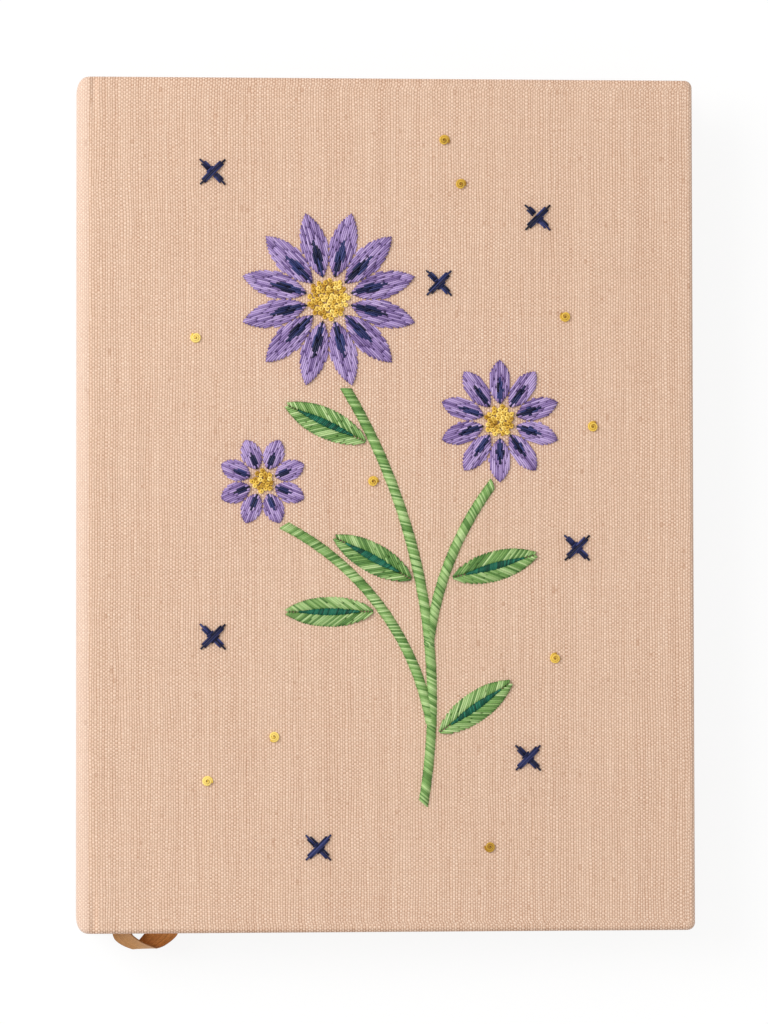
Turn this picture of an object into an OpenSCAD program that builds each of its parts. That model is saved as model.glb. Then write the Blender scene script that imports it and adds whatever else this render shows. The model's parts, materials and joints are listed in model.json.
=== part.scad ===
// Book-form needle case: cloth-covered boards, a soft-edged spine, nested felt leaves and a ribbon.
// The case lies closed on its back cover. X runs from the spine to the fore edge, Y from tail to head,
// Z from the back cover up to the embroidered front. The origin is under the middle of the case.

/* [Case] */
// Width of the closed case, spine to fore edge
case_w = 112; // [100:0.5:140]
// Height of the case, tail to head
case_h = 154.6; // [140:0.2:200]

/* [Covers] */
// Thickness of the cover boards
board_t = 2; // [1.5:0.1:3]
// Thickness of the linen
cloth_t = 0.5; // [0.3:0.05:0.7]
// Thickness of the stabiliser behind the embroidery
backing_t = 0.2; // [0.1:0.05:0.4]
// Rounding of the covered board edges
edge_r = 0.9; // [0.6:0.05:1.2]
// Rounding of the covers' corners, seen from above
corner_r = 1.4; // [0.8:0.1:3]
// Border of turned-in linen left bare round the lining
turn_in = 6; // [4:0.5:14]
// Half of the slit between a cover and the spine
joint_gap = 0.15; // [0.1:0.05:0.3]

/* [Spine] */
// Radius of the rolled spine edges, which is how far the spine stands past the covers
spine_roll = 3.2; // [2.8:0.1:5]
// Rounding of the spine's corners at head and tail, seen from above
spine_corner_r = 2.2; // [1:0.1:3]
// Thickness of the spine's moulded card
stiffener_t = 1; // [0.8:0.1:1.4]
// Thickness of the spine's inner lining
spine_lining_t = 0.4; // [0.2:0.05:0.6]
// Length of linen turned in over the card at head and tail
spine_turn_in = 12; // [6:1:20]

/* [Leaves] */
// Thickness of the wool felt
leaf_t = 1; // [0.8:0.05:1.4]
// Gap between neighbouring leaves
leaf_gap = 0.35; // [0.3:0.05:0.6]
// Gap in the middle of the leaves, where the ribbon lies
centre_gap = 0.9; // [0.8:0.05:1.4]
// Gap between the leaves and the covers' linings
cover_gap = 0.4; // [0.3:0.05:0.8]
// How far the covers stand past the leaves at head, tail and fore edge
square_w = 3.3; // [2:0.1:6]
// Step from one leaf's fold line to the next
fold_step = 1.25; // [1.2:0.05:1.8]
// Pitch of the pinked edge
pink_pitch = 4; // [3:0.25:6]
// Depth of the pinked edge
pink_depth = 1.6; // [1:0.1:2.4]

/* [Binding] */
// Diameter of the binding thread
thread_d = 0.6; // [0.4:0.05:0.7]
// Number of holes that the thread is sewn through
stitch_holes = 6; // [4:2:10]
// Distance from the last hole to the end of the spine's lining
stitch_margin = 5.3; // [4:0.1:12]

/* [Ribbon] */
// Width of the ribbon
ribbon_w = 5; // [3:0.5:5]
// Thickness of the ribbon
ribbon_t = 0.3; // [0.2:0.05:0.4]

/* [Embroidery] */
// Height of the satin stitch above the linen
relief = 0.7; // [0.4:0.05:1]
// Height of the satin stitch at its edges
relief_edge = 0.3; // [0.1:0.05:0.35]
// Gap between two colours of thread
thread_gap = 0.15; // [0.1:0.05:0.3]
// Width of a stem
stem_w = 1.7; // [1.2:0.1:2.2]
// Length of an embroidered leaf
sprig_leaf_l = 17; // [12:0.5:20]
// Width of an embroidered leaf
sprig_leaf_w = 5.4; // [4:0.1:6]
// Width of the vein along an embroidered leaf
vein_w = 1; // [0.6:0.1:1.4]
// Share of the room on its ring that a petal fills
petal_fill = 0.92; // [0.7:0.01:0.95]
// Length of a scattered cross stitch
cross_l = 6.4; // [4:0.2:8]
// Width of a scattered cross stitch
cross_w = 1.5; // [1:0.1:2]
// Diameter of a scattered knot
knot_d = 2.2; // [1.6:0.1:3]

/* [Hidden] */
$fn = 96;

linen = [0.89, 0.75, 0.63];
card = [0.62, 0.58, 0.52];
lining = [0.93, 0.87, 0.79];
felt = [0.95, 0.92, 0.85];
satin_brown = [0.63, 0.42, 0.24];
violet = [0.59, 0.47, 0.69];
navy = [0.16, 0.2, 0.41];
yellow = [0.93, 0.78, 0.27];
leaf_green = [0.47, 0.7, 0.39];
dark_green = [0.04, 0.47, 0.36];

// Heights of the stack, from the back cover up
cover_t = cloth_t + board_t + cloth_t;
front_cover_t = cover_t + backing_t;
leaf_z = [
    for (i = [0 : 5])
        cover_t + cover_gap + leaf_t / 2 + i * (leaf_t + leaf_gap) + (i > 2 ? centre_gap - leaf_gap : 0)
];
front_z = leaf_z[5] + leaf_t / 2 + cover_gap;
case_t = front_z + front_cover_t;
middle_z = (leaf_z[2] + leaf_z[3]) / 2;

// Places across the case, from the spine to the fore edge
spine_x = -case_w / 2;
fore_x = case_w / 2;
joint_x = spine_x + spine_roll;
card_inner_x = spine_x + cloth_t + stiffener_t;
spine_inner_x = card_inner_x + max(spine_lining_t, cloth_t);
fold_r = [for (i = [0 : 2]) middle_z - leaf_z[i]];
seat_gap = 0.1;
fold_x = spine_inner_x + seat_gap + fold_r[0] + leaf_t / 2;
nose_gap = 0.15;
outer_leg = 0.2;
pivot_x = [
    for (i = [0 : 2]) fold_x + outer_leg + nose_gap + leaf_t / 2 + i * fold_step
];
leaf_h = case_h - 2 * square_w;
leaf_x1 = fore_x - square_w;
leaf_straight_h = leaf_h - 2 * pink_depth;

// The embroidered sprig, set out from the middle of the front cover
cover_mid_x = (joint_x + fore_x) / 2;
main_stem = [[5, -54], [-9, 21], 110];
right_branch = [[6, -26], [18, 4], -60];
left_branch = [[6.4, -40], [-20, -4], 50];
stems = [main_stem, right_branch, left_branch];
// Each flower has a place, a diameter, a diameter for its centre and a number of petals
flowers = [
    [[-12, 37], 32, 8, 12],
    [[19, 15], 22, 6, 10],
    [[-24, 4], 16, 4.6, 8]
];
// Each leaf has a stem, a place along it, a side and an angle from it
sprig_leaves = [
    [0, 0.16, -1, 52], [0, 0.52, 1, 50], [0, 0.86, 1, 40], [1, 0.4, -1, 56], [2, 0.5, 1, 54]
];
crosses = [[26, 52], [-33, 60], [33, -8], [-33, -24], [24, -46], [8, 40], [-14, -62]];
knots = [
    [12, 58], [31, 34], [-36, 30], [-4, 4], [29, -28], [-22, -42], [-34, -50], [9, 66], [36, 14], [17, -62]
];

// The ribbon's route in the middle of the leaves, in three stretches: places from the gutter and from the
// tail edge. The run down from the head and the free end lie flat, at shares of the case's height. In the loop
// that hangs out at the tail, each place also has a height, and the direction of the ribbon's width
gutter_x = pivot_x[2];
tail_y = -case_h / 2;
ribbon_run = [
    [1.6, 0.953], [1.5, 0.862], [1.2, 0.759], [0.8, 0.642], [0.4, 0.526], [0.1, 0.409], [-0.2, 0.293],
    [-0.4, 0.19]
];
ribbon_loop = [
    [[-0.6, 17.3, 0], [1, 0, 0]],
    [[-0.8, 10.3, 0], [1, 0, 0]],
    [[-1.1, 6, 0], [1, 0, 0]],
    [[-1.4, 4.2, 0], [0.99, 0, 0.1]],
    [[-1.7, 2.6, 0], [0.9, -0.03, 0.43]],
    [[-1.55, 0.7, 0.05], [0.77, -0.02, 0.64]],
    [[-1.3, -0.5, 0.1], [0.71, 0, 0.7]],
    [[-0.75, -1.35, 0.2], [0.79, 0.05, 0.6]],
    [[0.05, -2, 0.25], [0.86, 0.05, 0.5]],
    [[1.05, -2.55, 0.25], [0.91, 0.04, 0.4]],
    [[2.2, -3, 0.1], [0.95, 0.03, 0.24]],
    [[2.9, -3.2, -0.3], [0.86, 0.03, 0.14]],
    [[3.7, -2.75, -0.85], [1, -0.04, 0.12]],
    [[4.65, -1.9, -1.2], [1.12, -0.08, 0.06]],
    [[5.4, -1.15, -1.25], [1.19, -0.06, 0]],
    [[5.95, -0.4, -1.1], [1.18, -0.02, 0]],
    [[6.55, 0.6, -0.75], [1.1, 0, 0]],
    [[7.1, 1.85, -0.25], [1.03, 0, 0]],
    [[7.4, 3.5, 0], [1, 0, 0]],
    [[7.5, 5.2, 0], [1, 0, 0]],
    [[7.7, 9.3, 0], [1, 0, 0]]
];
ribbon_free_end = [[7.9, 0.105], [8, 0.157], [7.9, 0.209], [7.6, 0.261], [7.2, 0.306]];
function flat_stretch(places) = [
    for (p = places) [[gutter_x + p.x, tail_y + p.y * case_h, middle_z], [1, 0, 0]]
];
ribbon_route = concat(
    flat_stretch(ribbon_run),
    [for (p = ribbon_loop) [p[0] + [gutter_x, tail_y, middle_z], p[1]]],
    flat_stretch(ribbon_free_end)
);

// A rectangle from the origin, its four corners rounded by the radii in r, from the origin counterclockwise
module rounded_rectangle(w, h, r) {
    overshoot = 1;
    difference() {
        square([w, h]);
        for (corner = [[0, 0, 0], [w, 0, 1], [w, h, 2], [0, h, 3]])
            if (r[corner.z] > 0)
                translate([corner.x, corner.y]) rotate(90 * corner.z) difference() {
                    translate([-overshoot, -overshoot]) square(r[corner.z] + overshoot);
                    translate([r[corner.z], r[corner.z]]) circle(r[corner.z]);
                }
    }
}

// Runs a profile drawn in X and Z along Y, from y0 to y1
module along_y(y0, y1) {
    translate([0, y1, 0]) rotate([90, 0, 0]) linear_extrude(y1 - y0) children();
}

// Runs a profile drawn in Y and Z along X, from x0 to x1
module along_x(x0, x1) {
    translate([x0, 0, 0]) rotate([90, 0, 90]) linear_extrude(x1 - x0) children();
}

// A slab with rounded edges and with rounded corners at the fore edge
module soft_slab(x0, x1, h, z0, t, edge, corner) {
    w = x1 - x0;
    all_edges = [edge, edge, edge, edge];
    intersection() {
        translate([x0, -h / 2, z0]) linear_extrude(t) rounded_rectangle(w, h, [0, corner, corner, 0]);
        translate([x0, 0, z0]) along_y(-h / 2, h / 2) rounded_rectangle(w, t, all_edges);
        translate([0, -h / 2, z0]) along_x(x0, x1) rounded_rectangle(h, t, all_edges);
    }
}

// Covers

cover_x0 = joint_x + joint_gap;
board_x0 = cover_x0 + cloth_t;
board_x1 = fore_x - cloth_t;
board_h = case_h - 2 * cloth_t;
board_edge_r = min(edge_r - cloth_t / 2, board_t / 3);
lining_x1 = fore_x - turn_in;
lining_h = case_h - 2 * turn_in;
mitre_cut = 0.15;

module cover_board(z0) {
    soft_slab(board_x0, board_x1, board_h, z0, board_t, board_edge_r, corner_r);
}

module cover_lining(z0) {
    translate([board_x0, -lining_h / 2, z0]) cube([lining_x1 - board_x0, lining_h, cloth_t]);
}

// Linen wrapped round a board: filling_t is what the wrap holds, lining_z where its lining lies
module cover_cloth(z0, t, filling_z, filling_t, lining_z) {
    difference() {
        soft_slab(cover_x0, fore_x, case_h, z0, t, edge_r, corner_r);
        soft_slab(board_x0, board_x1, board_h, filling_z, filling_t, board_edge_r, corner_r);
        cover_lining(lining_z);
        for (side = [-1, 1])
            translate([lining_x1, side * lining_h / 2, lining_z])
                rotate(side * 45)
                    translate([-mitre_cut, -mitre_cut / 2, 0])
                        cube([2 * turn_in, mitre_cut, cloth_t]);
    }
}

module back_cloth() {
    color(linen) cover_cloth(0, cover_t, cloth_t, board_t, cloth_t + board_t);
}

module back_board() {
    color(card) cover_board(cloth_t);
}

module back_lining() {
    color(lining) cover_lining(cloth_t + board_t);
}

module front_cloth() {
    color(linen) cover_cloth(front_z, front_cover_t, front_z + cloth_t, board_t + backing_t, front_z);
}

module front_board() {
    color(card) intersection() {
        front_filling();
        translate([0, 0, front_z + cloth_t + board_t / 2])
            cube([2 * case_w, 2 * case_h, board_t], center = true);
    }
}

module embroidery_backing() {
    color(lining) intersection() {
        front_filling();
        translate([0, 0, front_z + cloth_t + board_t + backing_t / 2])
            cube([2 * case_w, 2 * case_h, backing_t], center = true);
    }
}

// The front board with the stabiliser on it, as the linen wraps them
module front_filling() {
    soft_slab(board_x0, board_x1, board_h, front_z + cloth_t, board_t + backing_t, board_edge_r, corner_r);
}

module front_lining() {
    color(lining) cover_lining(front_z);
}

// Spine

spine_end_x = joint_x - joint_gap;
card_end_x = spine_end_x - cloth_t;

// A channel between two profiles, from_t and to_t inside the spine's outer surface
module spine_channel(from_t, to_t, y0, y1, end_x) {
    along_y(y0, y1) intersection() {
        difference() {
            spine_profile(from_t);
            spine_profile(to_t);
        }
        translate([spine_x, 0]) square([end_x - spine_x, case_t]);
    }
}

module spine_profile(inset) {
    r = max(spine_roll - inset, 0.2);
    translate([spine_x + inset, inset])
        rounded_rectangle(2 * spine_roll, case_t - 2 * inset, [r, 0, 0, r]);
}

// The spine's outline from above, inset on three sides
module spine_plan(inset) {
    r = spine_corner_r;
    translate([spine_x + inset, inset - case_h / 2])
        linear_extrude(case_t) rounded_rectangle(2 * spine_roll, case_h - 2 * inset, [r, 0, 0, r]);
}

module spine_cloth() {
    card_out = cloth_t + stiffener_t;
    turn_t = card_out + cloth_t;
    color(linen) intersection() {
        union() {
            spine_channel(0, cloth_t, -case_h / 2, case_h / 2, spine_end_x);
            for (side = [0, 1]) mirror([0, side, 0]) {
                spine_channel(0, turn_t, case_h / 2 - cloth_t, case_h / 2, card_end_x);
                spine_channel(card_out, turn_t, case_h / 2 - spine_turn_in, case_h / 2, card_end_x);
            }
        }
        spine_plan(0);
    }
}

module spine_stiffener() {
    color(card) difference() {
        intersection() {
            spine_channel(cloth_t, cloth_t + stiffener_t, -board_h / 2, board_h / 2, card_end_x);
            spine_plan(cloth_t);
        }
        thread_grooves();
    }
}

module spine_lining() {
    lining_end = case_h / 2 - spine_turn_in;
    color(lining) difference() {
        translate([card_inner_x, -lining_end, spine_roll])
            cube([spine_lining_t, 2 * lining_end, case_t - 2 * spine_roll]);
        thread_holes(thread_d);
    }
}

// Folds of the felt sheets, sewn to the spine lining

module felt_fold(i) {
    outer = fold_r[i] + leaf_t / 2;
    inner = fold_r[i] - leaf_t / 2;
    leg = pivot_x[i] - nose_gap - leaf_t / 2 - fold_x;
    color(felt) difference() {
        translate([fold_x, 0, middle_z]) along_y(-leaf_straight_h / 2, leaf_straight_h / 2) difference() {
            union() {
                circle(outer);
                translate([0, -outer]) square([outer + leg, 2 * outer]);
            }
            circle(inner);
            translate([0, -inner]) square([2 * outer, 2 * inner]);
            translate([leg, -2 * outer]) square(4 * outer);
        }
        thread_holes(thread_d);
    }
}

module outer_fold() {
    felt_fold(0);
}

module middle_fold() {
    felt_fold(1);
}

module inner_fold() {
    felt_fold(2);
}

// Binding thread: a running stitch that goes in and out through the folds

stitch_pitch = (case_h - 2 * spine_turn_in - 2 * stitch_margin) / (stitch_holes - 1);
stitch_y = [for (i = [0 : stitch_holes - 1]) (i - (stitch_holes - 1) / 2) * stitch_pitch];
inner_run_x = fold_x - fold_r[2] + leaf_t / 2 + thread_d / 2;
outer_run_x = card_inner_x - thread_d / 2;
groove_gap = 0.05;

module thread_run(x, y0, y1, d) {
    translate([x, y0, middle_z]) rotate([-90, 0, 0]) cylinder(d = d, h = y1 - y0);
    for (y = [y0, y1]) translate([x, y, middle_z]) sphere(d = d);
}

module thread_holes(d) {
    for (y = stitch_y)
        translate([outer_run_x, y, middle_z]) rotate([0, 90, 0])
            cylinder(d = d, h = inner_run_x - outer_run_x);
}

module outer_runs(d) {
    for (i = [1 : 2 : stitch_holes - 2]) thread_run(outer_run_x, stitch_y[i], stitch_y[i + 1], d);
    for (y = [stitch_y[0], stitch_y[stitch_holes - 1]]) translate([outer_run_x, y, middle_z]) sphere(d = d);
}

// Grooves pressed into the spine's card, where the thread runs behind the lining
module thread_grooves() {
    room = thread_d + 2 * groove_gap;
    runs = [
        [stitch_y[0], stitch_y[0]],
        for (i = [1 : 2 : stitch_holes - 2]) [stitch_y[i], stitch_y[i + 1]],
        [stitch_y[stitch_holes - 1], stitch_y[stitch_holes - 1]]
    ];
    for (run = runs)
        translate([outer_run_x - room / 2, run[0] - room / 2, middle_z - room / 2])
            cube([room, run[1] - run[0] + room, room]);
}

module binding_thread() {
    color(lining) union() {
        thread_holes(thread_d);
        outer_runs(thread_d);
        for (i = [0 : 2 : stitch_holes - 2])
            thread_run(inner_run_x, stitch_y[i], stitch_y[i + 1], thread_d);
    }
}

// Felt leaves

// Points of a pinked edge from a to b, its teeth standing out to the right of that line
function pinked(a, b) =
    let (
        run = b - a,
        n = max(round(norm(run) / pink_pitch), 1),
        out = pink_depth * [run.y, -run.x] / norm(run)
    )
    [for (i = [0 : 2 * n - 1]) a + run * i / (2 * n) + (i % 2) * out];

module felt_leaf(i) {
    x = pivot_x[i < 3 ? i : 5 - i];
    strip_w = 4;
    y = leaf_straight_h / 2;
    x1 = leaf_x1 - pink_depth;
    tail = [[x + strip_w, -y], [x1, -y]];
    head = [[x1, y], [x + strip_w, y]];
    edges = [pinked(tail[0], tail[1]), pinked(tail[1], head[0]), pinked(head[0], head[1]), [head[1]]];
    color(felt) translate([0, 0, leaf_z[i]]) union() {
        translate([0, 0, -leaf_t / 2]) linear_extrude(leaf_t) polygon([for (edge = edges) each edge]);
        along_y(-y, y) union() {
            translate([x, 0]) circle(d = leaf_t);
            translate([x, -leaf_t / 2]) square([strip_w, leaf_t]);
        }
    }
}

module felt_leaf_1() {
    felt_leaf(0);
}

module felt_leaf_2() {
    felt_leaf(1);
}

module felt_leaf_3() {
    felt_leaf(2);
}

module felt_leaf_4() {
    felt_leaf(3);
}

module felt_leaf_5() {
    felt_leaf(4);
}

module felt_leaf_6() {
    felt_leaf(5);
}

// Ribbon: a flat strip swept along its route, folded over once in the loop at the tail

route_end = len(ribbon_route) - 1;
function route_heading(i) =
    let (d = ribbon_route[min(i + 1, route_end)][0] - ribbon_route[max(i - 1, 0)][0]) d / norm(d);
function ribbon_ring(i) =
    let (
        place = ribbon_route[i][0],
        across = ribbon_route[i][1],
        face = cross(route_heading(i), across),
        through = face / norm(face)
    )
    [
        for (corner = [[-1, -1], [1, -1], [1, 1], [-1, 1]])
            place + across * corner.x * ribbon_w / 2 + through * corner.y * ribbon_t / 2
    ];

module ribbon_marker() {
    points = [for (i = [0 : route_end]) each ribbon_ring(i)];
    sides = [
        for (i = [0 : route_end - 1], k = [0 : 3])
            let (a = 4 * i + k, b = 4 * i + (k + 1) % 4)
            each [[a, b + 4, b], [a, a + 4, b + 4]]
    ];
    last = 4 * route_end;
    ends = [[0, 1, 2], [0, 2, 3], [last, last + 2, last + 1], [last, last + 3, last + 2]];
    color(satin_brown) polyhedron(points, concat(sides, ends));
}

// Embroidery: pads of satin stitch on the front cover

large_round = 240;
crown = relief - relief_edge;
function crown_r(w) = (w * w / 4 + crown * crown) / (2 * crown);

// An almond outline along X, pointed at both ends
module almond(l, w) {
    r = (l * l / 4 + w * w / 4) / w;
    intersection() {
        translate([0, r - w / 2]) circle(r, $fn = large_round);
        translate([0, w / 2 - r]) circle(r, $fn = large_round);
    }
}

// A crowned pad with that outline, starting at the origin
module stitched_pad(l, w) {
    translate([l / 2, 0, 0]) intersection() {
        linear_extrude(relief) almond(l, w);
        translate([0, 0, relief - crown_r(w)]) rotate([0, 90, 0])
            cylinder(r = crown_r(w), h = 2 * l, center = true, $fn = large_round);
    }
}

// A dome on a disc of its own diameter
module stitched_dome(d) {
    r = crown_r(d);
    rotate_extrude() intersection() {
        translate([0, relief - r]) circle(r, $fn = large_round);
        square([d / 2, relief]);
    }
}

// A stem is an arc from one point to another: the sign of its radius says which way it bends
function stem_centre(s) =
    let (d = s[1] - s[0], half = norm(d) / 2, rise = sqrt(s[2] * s[2] - half * half))
    (s[0] + s[1]) / 2 + sign(s[2]) * rise * [-d.y, d.x] / norm(d);
function stem_start(s) = let (d = s[0] - stem_centre(s)) atan2(d.y, d.x);
function stem_sweep(s) = 2 * sign(s[2]) * asin(norm(s[1] - s[0]) / 2 / abs(s[2]));
function stem_angle(s, t) = stem_start(s) + t * stem_sweep(s);
function stem_point(s, t) = stem_centre(s) + abs(s[2]) * [cos(stem_angle(s, t)), sin(stem_angle(s, t))];
function stem_heading(s, t) = stem_angle(s, t) + sign(s[2]) * 90;

module on_front() {
    translate([cover_mid_x, 0, case_t]) children();
}

module stem_band(s) {
    translate(stem_centre(s))
        rotate(min(stem_angle(s, 0), stem_angle(s, 1)))
            rotate_extrude(angle = abs(stem_sweep(s)), $fn = large_round)
                translate([abs(s[2]), 0]) intersection() {
                    translate([0, relief - crown_r(stem_w)]) circle(crown_r(stem_w));
                    translate([-stem_w / 2, 0]) square([stem_w, relief]);
                }
}

module embroidered_stems() {
    color(leaf_green) on_front() difference() {
        union() for (s = stems) stem_band(s);
        for (f = flowers)
            translate(f[0]) cylinder(d = f[1] + 2 * thread_gap, h = 3 * relief, center = true);
    }
}

// Puts a shape at each petal's base, pointing outwards
module on_petals(f) {
    for (k = [0 : f[3] - 1])
        translate(f[0]) rotate((k + 0.5) * 360 / f[3]) translate([f[2] / 2 + thread_gap, 0, 0]) children();
}

function petal_length(f) = (f[1] - f[2]) / 2 - thread_gap;
function petal_width(f) = petal_fill * (f[2] / 2 + petal_length(f) / 2) * 2 * sin(180 / f[3]);
shade_l = 0.62;
shade_w = 0.34;
function shade_length(f) = shade_l * petal_length(f);
function shade_width(f) = shade_w * petal_width(f);

module embroidered_petals() {
    color(violet) on_front() for (f = flowers)
        on_petals(f) difference() {
            stitched_pad(petal_length(f), petal_width(f));
            linear_extrude(3 * relief, center = true)
                translate([shade_length(f) / 2, 0])
                    almond(shade_length(f) + 2 * thread_gap, shade_width(f) + 2 * thread_gap);
        }
}

module petal_shading() {
    color(navy) on_front() for (f = flowers)
        on_petals(f) stitched_pad(shade_length(f), shade_width(f));
}

module flower_centres() {
    color(yellow) on_front() for (f = flowers) translate(f[0]) stitched_dome(f[2]);
}

// Puts a shape at each leaf's base, pointing along the leaf
module on_leaves() {
    for (l = sprig_leaves) {
        s = stems[l[0]];
        along = stem_heading(s, l[1]);
        off = stem_w / 2 + thread_gap;
        translate(stem_point(s, l[1]) + l[2] * off * [-sin(along), cos(along)])
            rotate(along + l[2] * l[3]) children();
    }
}

module embroidered_leaves() {
    color(leaf_green) on_front() on_leaves() difference() {
        stitched_pad(sprig_leaf_l, sprig_leaf_w);
        linear_extrude(3 * relief, center = true)
            translate([sprig_leaf_l / 2, 0])
                almond(sprig_leaf_l * shade_l + 2 * thread_gap, vein_w + 2 * thread_gap);
    }
}

module leaf_veins() {
    color(dark_green) on_front() on_leaves()
        translate([sprig_leaf_l * (1 - shade_l) / 2, 0, 0]) stitched_pad(sprig_leaf_l * shade_l, vein_w);
}

// A cross stitch: the arm on top runs through, and the one under it shows on either side
module cross_stitch() {
    rotate(45) translate([-cross_l / 2, 0, 0]) stitched_pad(cross_l, cross_w);
    rotate(135) difference() {
        translate([-cross_l / 2, 0, 0]) stitched_pad(cross_l, cross_w);
        cube([cross_w + 2 * thread_gap, 2 * cross_w, 3 * relief], center = true);
    }
}

module scattered_crosses() {
    color(navy) on_front() for (p = crosses) translate(p) cross_stitch();
}

module scattered_knots() {
    color(yellow) on_front() for (p = knots) translate(p) stitched_dome(knot_d);
}

back_cloth();
back_board();
back_lining();
spine_cloth();
spine_stiffener();
spine_lining();
outer_fold();
middle_fold();
inner_fold();
binding_thread();
felt_leaf_1();
felt_leaf_2();
felt_leaf_3();
felt_leaf_4();
felt_leaf_5();
felt_leaf_6();
ribbon_marker();
front_cloth();
embroidery_backing();
front_board();
front_lining();
embroidered_petals();
petal_shading();
flower_centres();
embroidered_stems();
embroidered_leaves();
leaf_veins();
scattered_crosses();
scattered_knots();
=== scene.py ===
"""Linen, felt, satin and embroidery for a book-form needle case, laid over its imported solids."""

import json
import math
from contextlib import contextmanager

import bmesh
import bpy
import numpy as np
from mathutils import Matrix, Vector


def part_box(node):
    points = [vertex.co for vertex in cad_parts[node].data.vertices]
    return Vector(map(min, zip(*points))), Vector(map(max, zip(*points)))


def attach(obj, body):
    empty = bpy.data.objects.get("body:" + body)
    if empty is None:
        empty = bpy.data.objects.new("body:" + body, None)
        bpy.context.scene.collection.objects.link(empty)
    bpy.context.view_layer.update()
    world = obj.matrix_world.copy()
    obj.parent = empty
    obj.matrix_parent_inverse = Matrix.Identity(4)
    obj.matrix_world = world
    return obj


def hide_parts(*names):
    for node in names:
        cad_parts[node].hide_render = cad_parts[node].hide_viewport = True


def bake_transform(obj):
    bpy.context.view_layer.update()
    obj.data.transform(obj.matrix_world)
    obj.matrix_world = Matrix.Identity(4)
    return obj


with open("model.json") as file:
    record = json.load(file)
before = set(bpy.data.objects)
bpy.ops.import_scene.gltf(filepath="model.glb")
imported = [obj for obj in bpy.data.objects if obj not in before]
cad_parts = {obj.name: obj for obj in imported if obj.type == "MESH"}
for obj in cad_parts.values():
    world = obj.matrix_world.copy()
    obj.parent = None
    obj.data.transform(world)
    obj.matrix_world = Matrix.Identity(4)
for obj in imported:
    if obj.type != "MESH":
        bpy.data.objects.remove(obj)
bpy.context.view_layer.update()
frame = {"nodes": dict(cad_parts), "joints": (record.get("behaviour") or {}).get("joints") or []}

MM = 0.001


def box_mm(node):
    low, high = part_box(node)
    return np.array(low) / MM, np.array(high) / MM


# The case's main places, read from the solids, in millimetres
front_low, front_high = box_mm("front_cloth")
back_low, back_high = box_mm("back_cloth")
spine_low, spine_high = box_mm("spine_cloth")
leaf_boxes = [box_mm(f"felt_leaf_{i}") for i in range(1, 7)]
hinge = {joint["name"]: np.array(joint["pos_m"]) / MM for joint in frame["joints"]}
TAIL = front_low[1]
HEAD = front_high[1]
FORE_X = front_high[0]
SPINE_X = spine_low[0]
CASE_T = front_high[2]
FRONT_T = CASE_T - front_low[2]
BACK_T = back_high[2]
JOINT_X = hinge["front_hinge"][0]
SPINE_ROLL = JOINT_X - SPINE_X
LEAF_PIVOTS = [hinge[f"leaf_{i}_turn"] for i in range(1, 7)]
LEAF_T = leaf_boxes[0][1][2] - leaf_boxes[0][0][2]
MIDDLE_Z = (LEAF_PIVOTS[2][2] + LEAF_PIVOTS[3][2]) / 2

# Linen covers
EDGE_R = 0.9
CORNER_R = 1.4
RIM_INSET = 1.4
TURN_IN = 6.0
CUT_DROP = 0.4
CUT_CLEAR = 0.05
MITRE_GROOVE = 0.22
SLACK = 0.035
SLACK_EDGE = 8
SPINE_CORNER_R = 2.2
SPINE_WALL = 2.0
SPINE_TURN_IN = 12.0
PANEL_SEAM_X = JOINT_X + 1.2
SPINE_SEAM = 0.9
SLOT = 0.15
LIP_X = 0.5
UNDER_LINING = 0.04
LINEN_SKIN = 0.4
COVER_SHARP_DEG = 50
SPINE_SHARP_DEG = 60
WARP_PITCH = 0.47
WEFT_PITCH = 0.33
MID_SHADE = 0.36
LAID_PITCH = 1.1

# Felt leaves
PINK_PITCH = 4.0
PINK_DEPTH = 1.6
FORE_GAP = 3.3
GUTTER_STRIP = 4.0
NOSE = 0.65
LEAF_WAVE = 0.09
WAVE_GROWS = 40
FOLD_STEPS = 25
FOLD_ROWS = 73
FELT_ROUND = 0.2
FELT_EDGE_DEG = 50
FELT_SHARP_DEG = 40

# Ribbon, as in the part's source
RIBBON_W = 5.0
RIBBON_T = 0.3
ROUTE_STEPS = 6
SATIN_PITCH = 0.26
RIBBON_SHARP_DEG = 50
RIBBON_RUN = [
    (1.6, 0.953), (1.5, 0.862), (1.2, 0.759), (0.8, 0.642),
    (0.4, 0.526), (0.1, 0.409), (-0.2, 0.293), (-0.4, 0.19),
]
RIBBON_LOOP = [
    ((-0.6, 17.3, 0), (1, 0, 0)),
    ((-0.8, 10.3, 0), (1, 0, 0)),
    ((-1.1, 6, 0), (1, 0, 0)),
    ((-1.4, 4.2, 0), (0.99, 0, 0.1)),
    ((-1.7, 2.6, 0), (0.9, -0.03, 0.43)),
    ((-1.55, 0.7, 0.05), (0.77, -0.02, 0.64)),
    ((-1.3, -0.5, 0.1), (0.71, 0, 0.7)),
    ((-0.75, -1.35, 0.2), (0.79, 0.05, 0.6)),
    ((0.05, -2, 0.25), (0.86, 0.05, 0.5)),
    ((1.05, -2.55, 0.25), (0.91, 0.04, 0.4)),
    ((2.2, -3, 0.1), (0.95, 0.03, 0.24)),
    ((2.9, -3.2, -0.3), (0.86, 0.03, 0.14)),
    ((3.7, -2.75, -0.85), (1, -0.04, 0.12)),
    ((4.65, -1.9, -1.2), (1.12, -0.08, 0.06)),
    ((5.4, -1.15, -1.25), (1.19, -0.06, 0)),
    ((5.95, -0.4, -1.1), (1.18, -0.02, 0)),
    ((6.55, 0.6, -0.75), (1.1, 0, 0)),
    ((7.1, 1.85, -0.25), (1.03, 0, 0)),
    ((7.4, 3.5, 0), (1, 0, 0)),
    ((7.5, 5.2, 0), (1, 0, 0)),
    ((7.7, 9.3, 0), (1, 0, 0)),
]
RIBBON_FREE_END = [(7.9, 0.105), (8.0, 0.157), (7.9, 0.209), (7.6, 0.261), (7.2, 0.306)]

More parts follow.
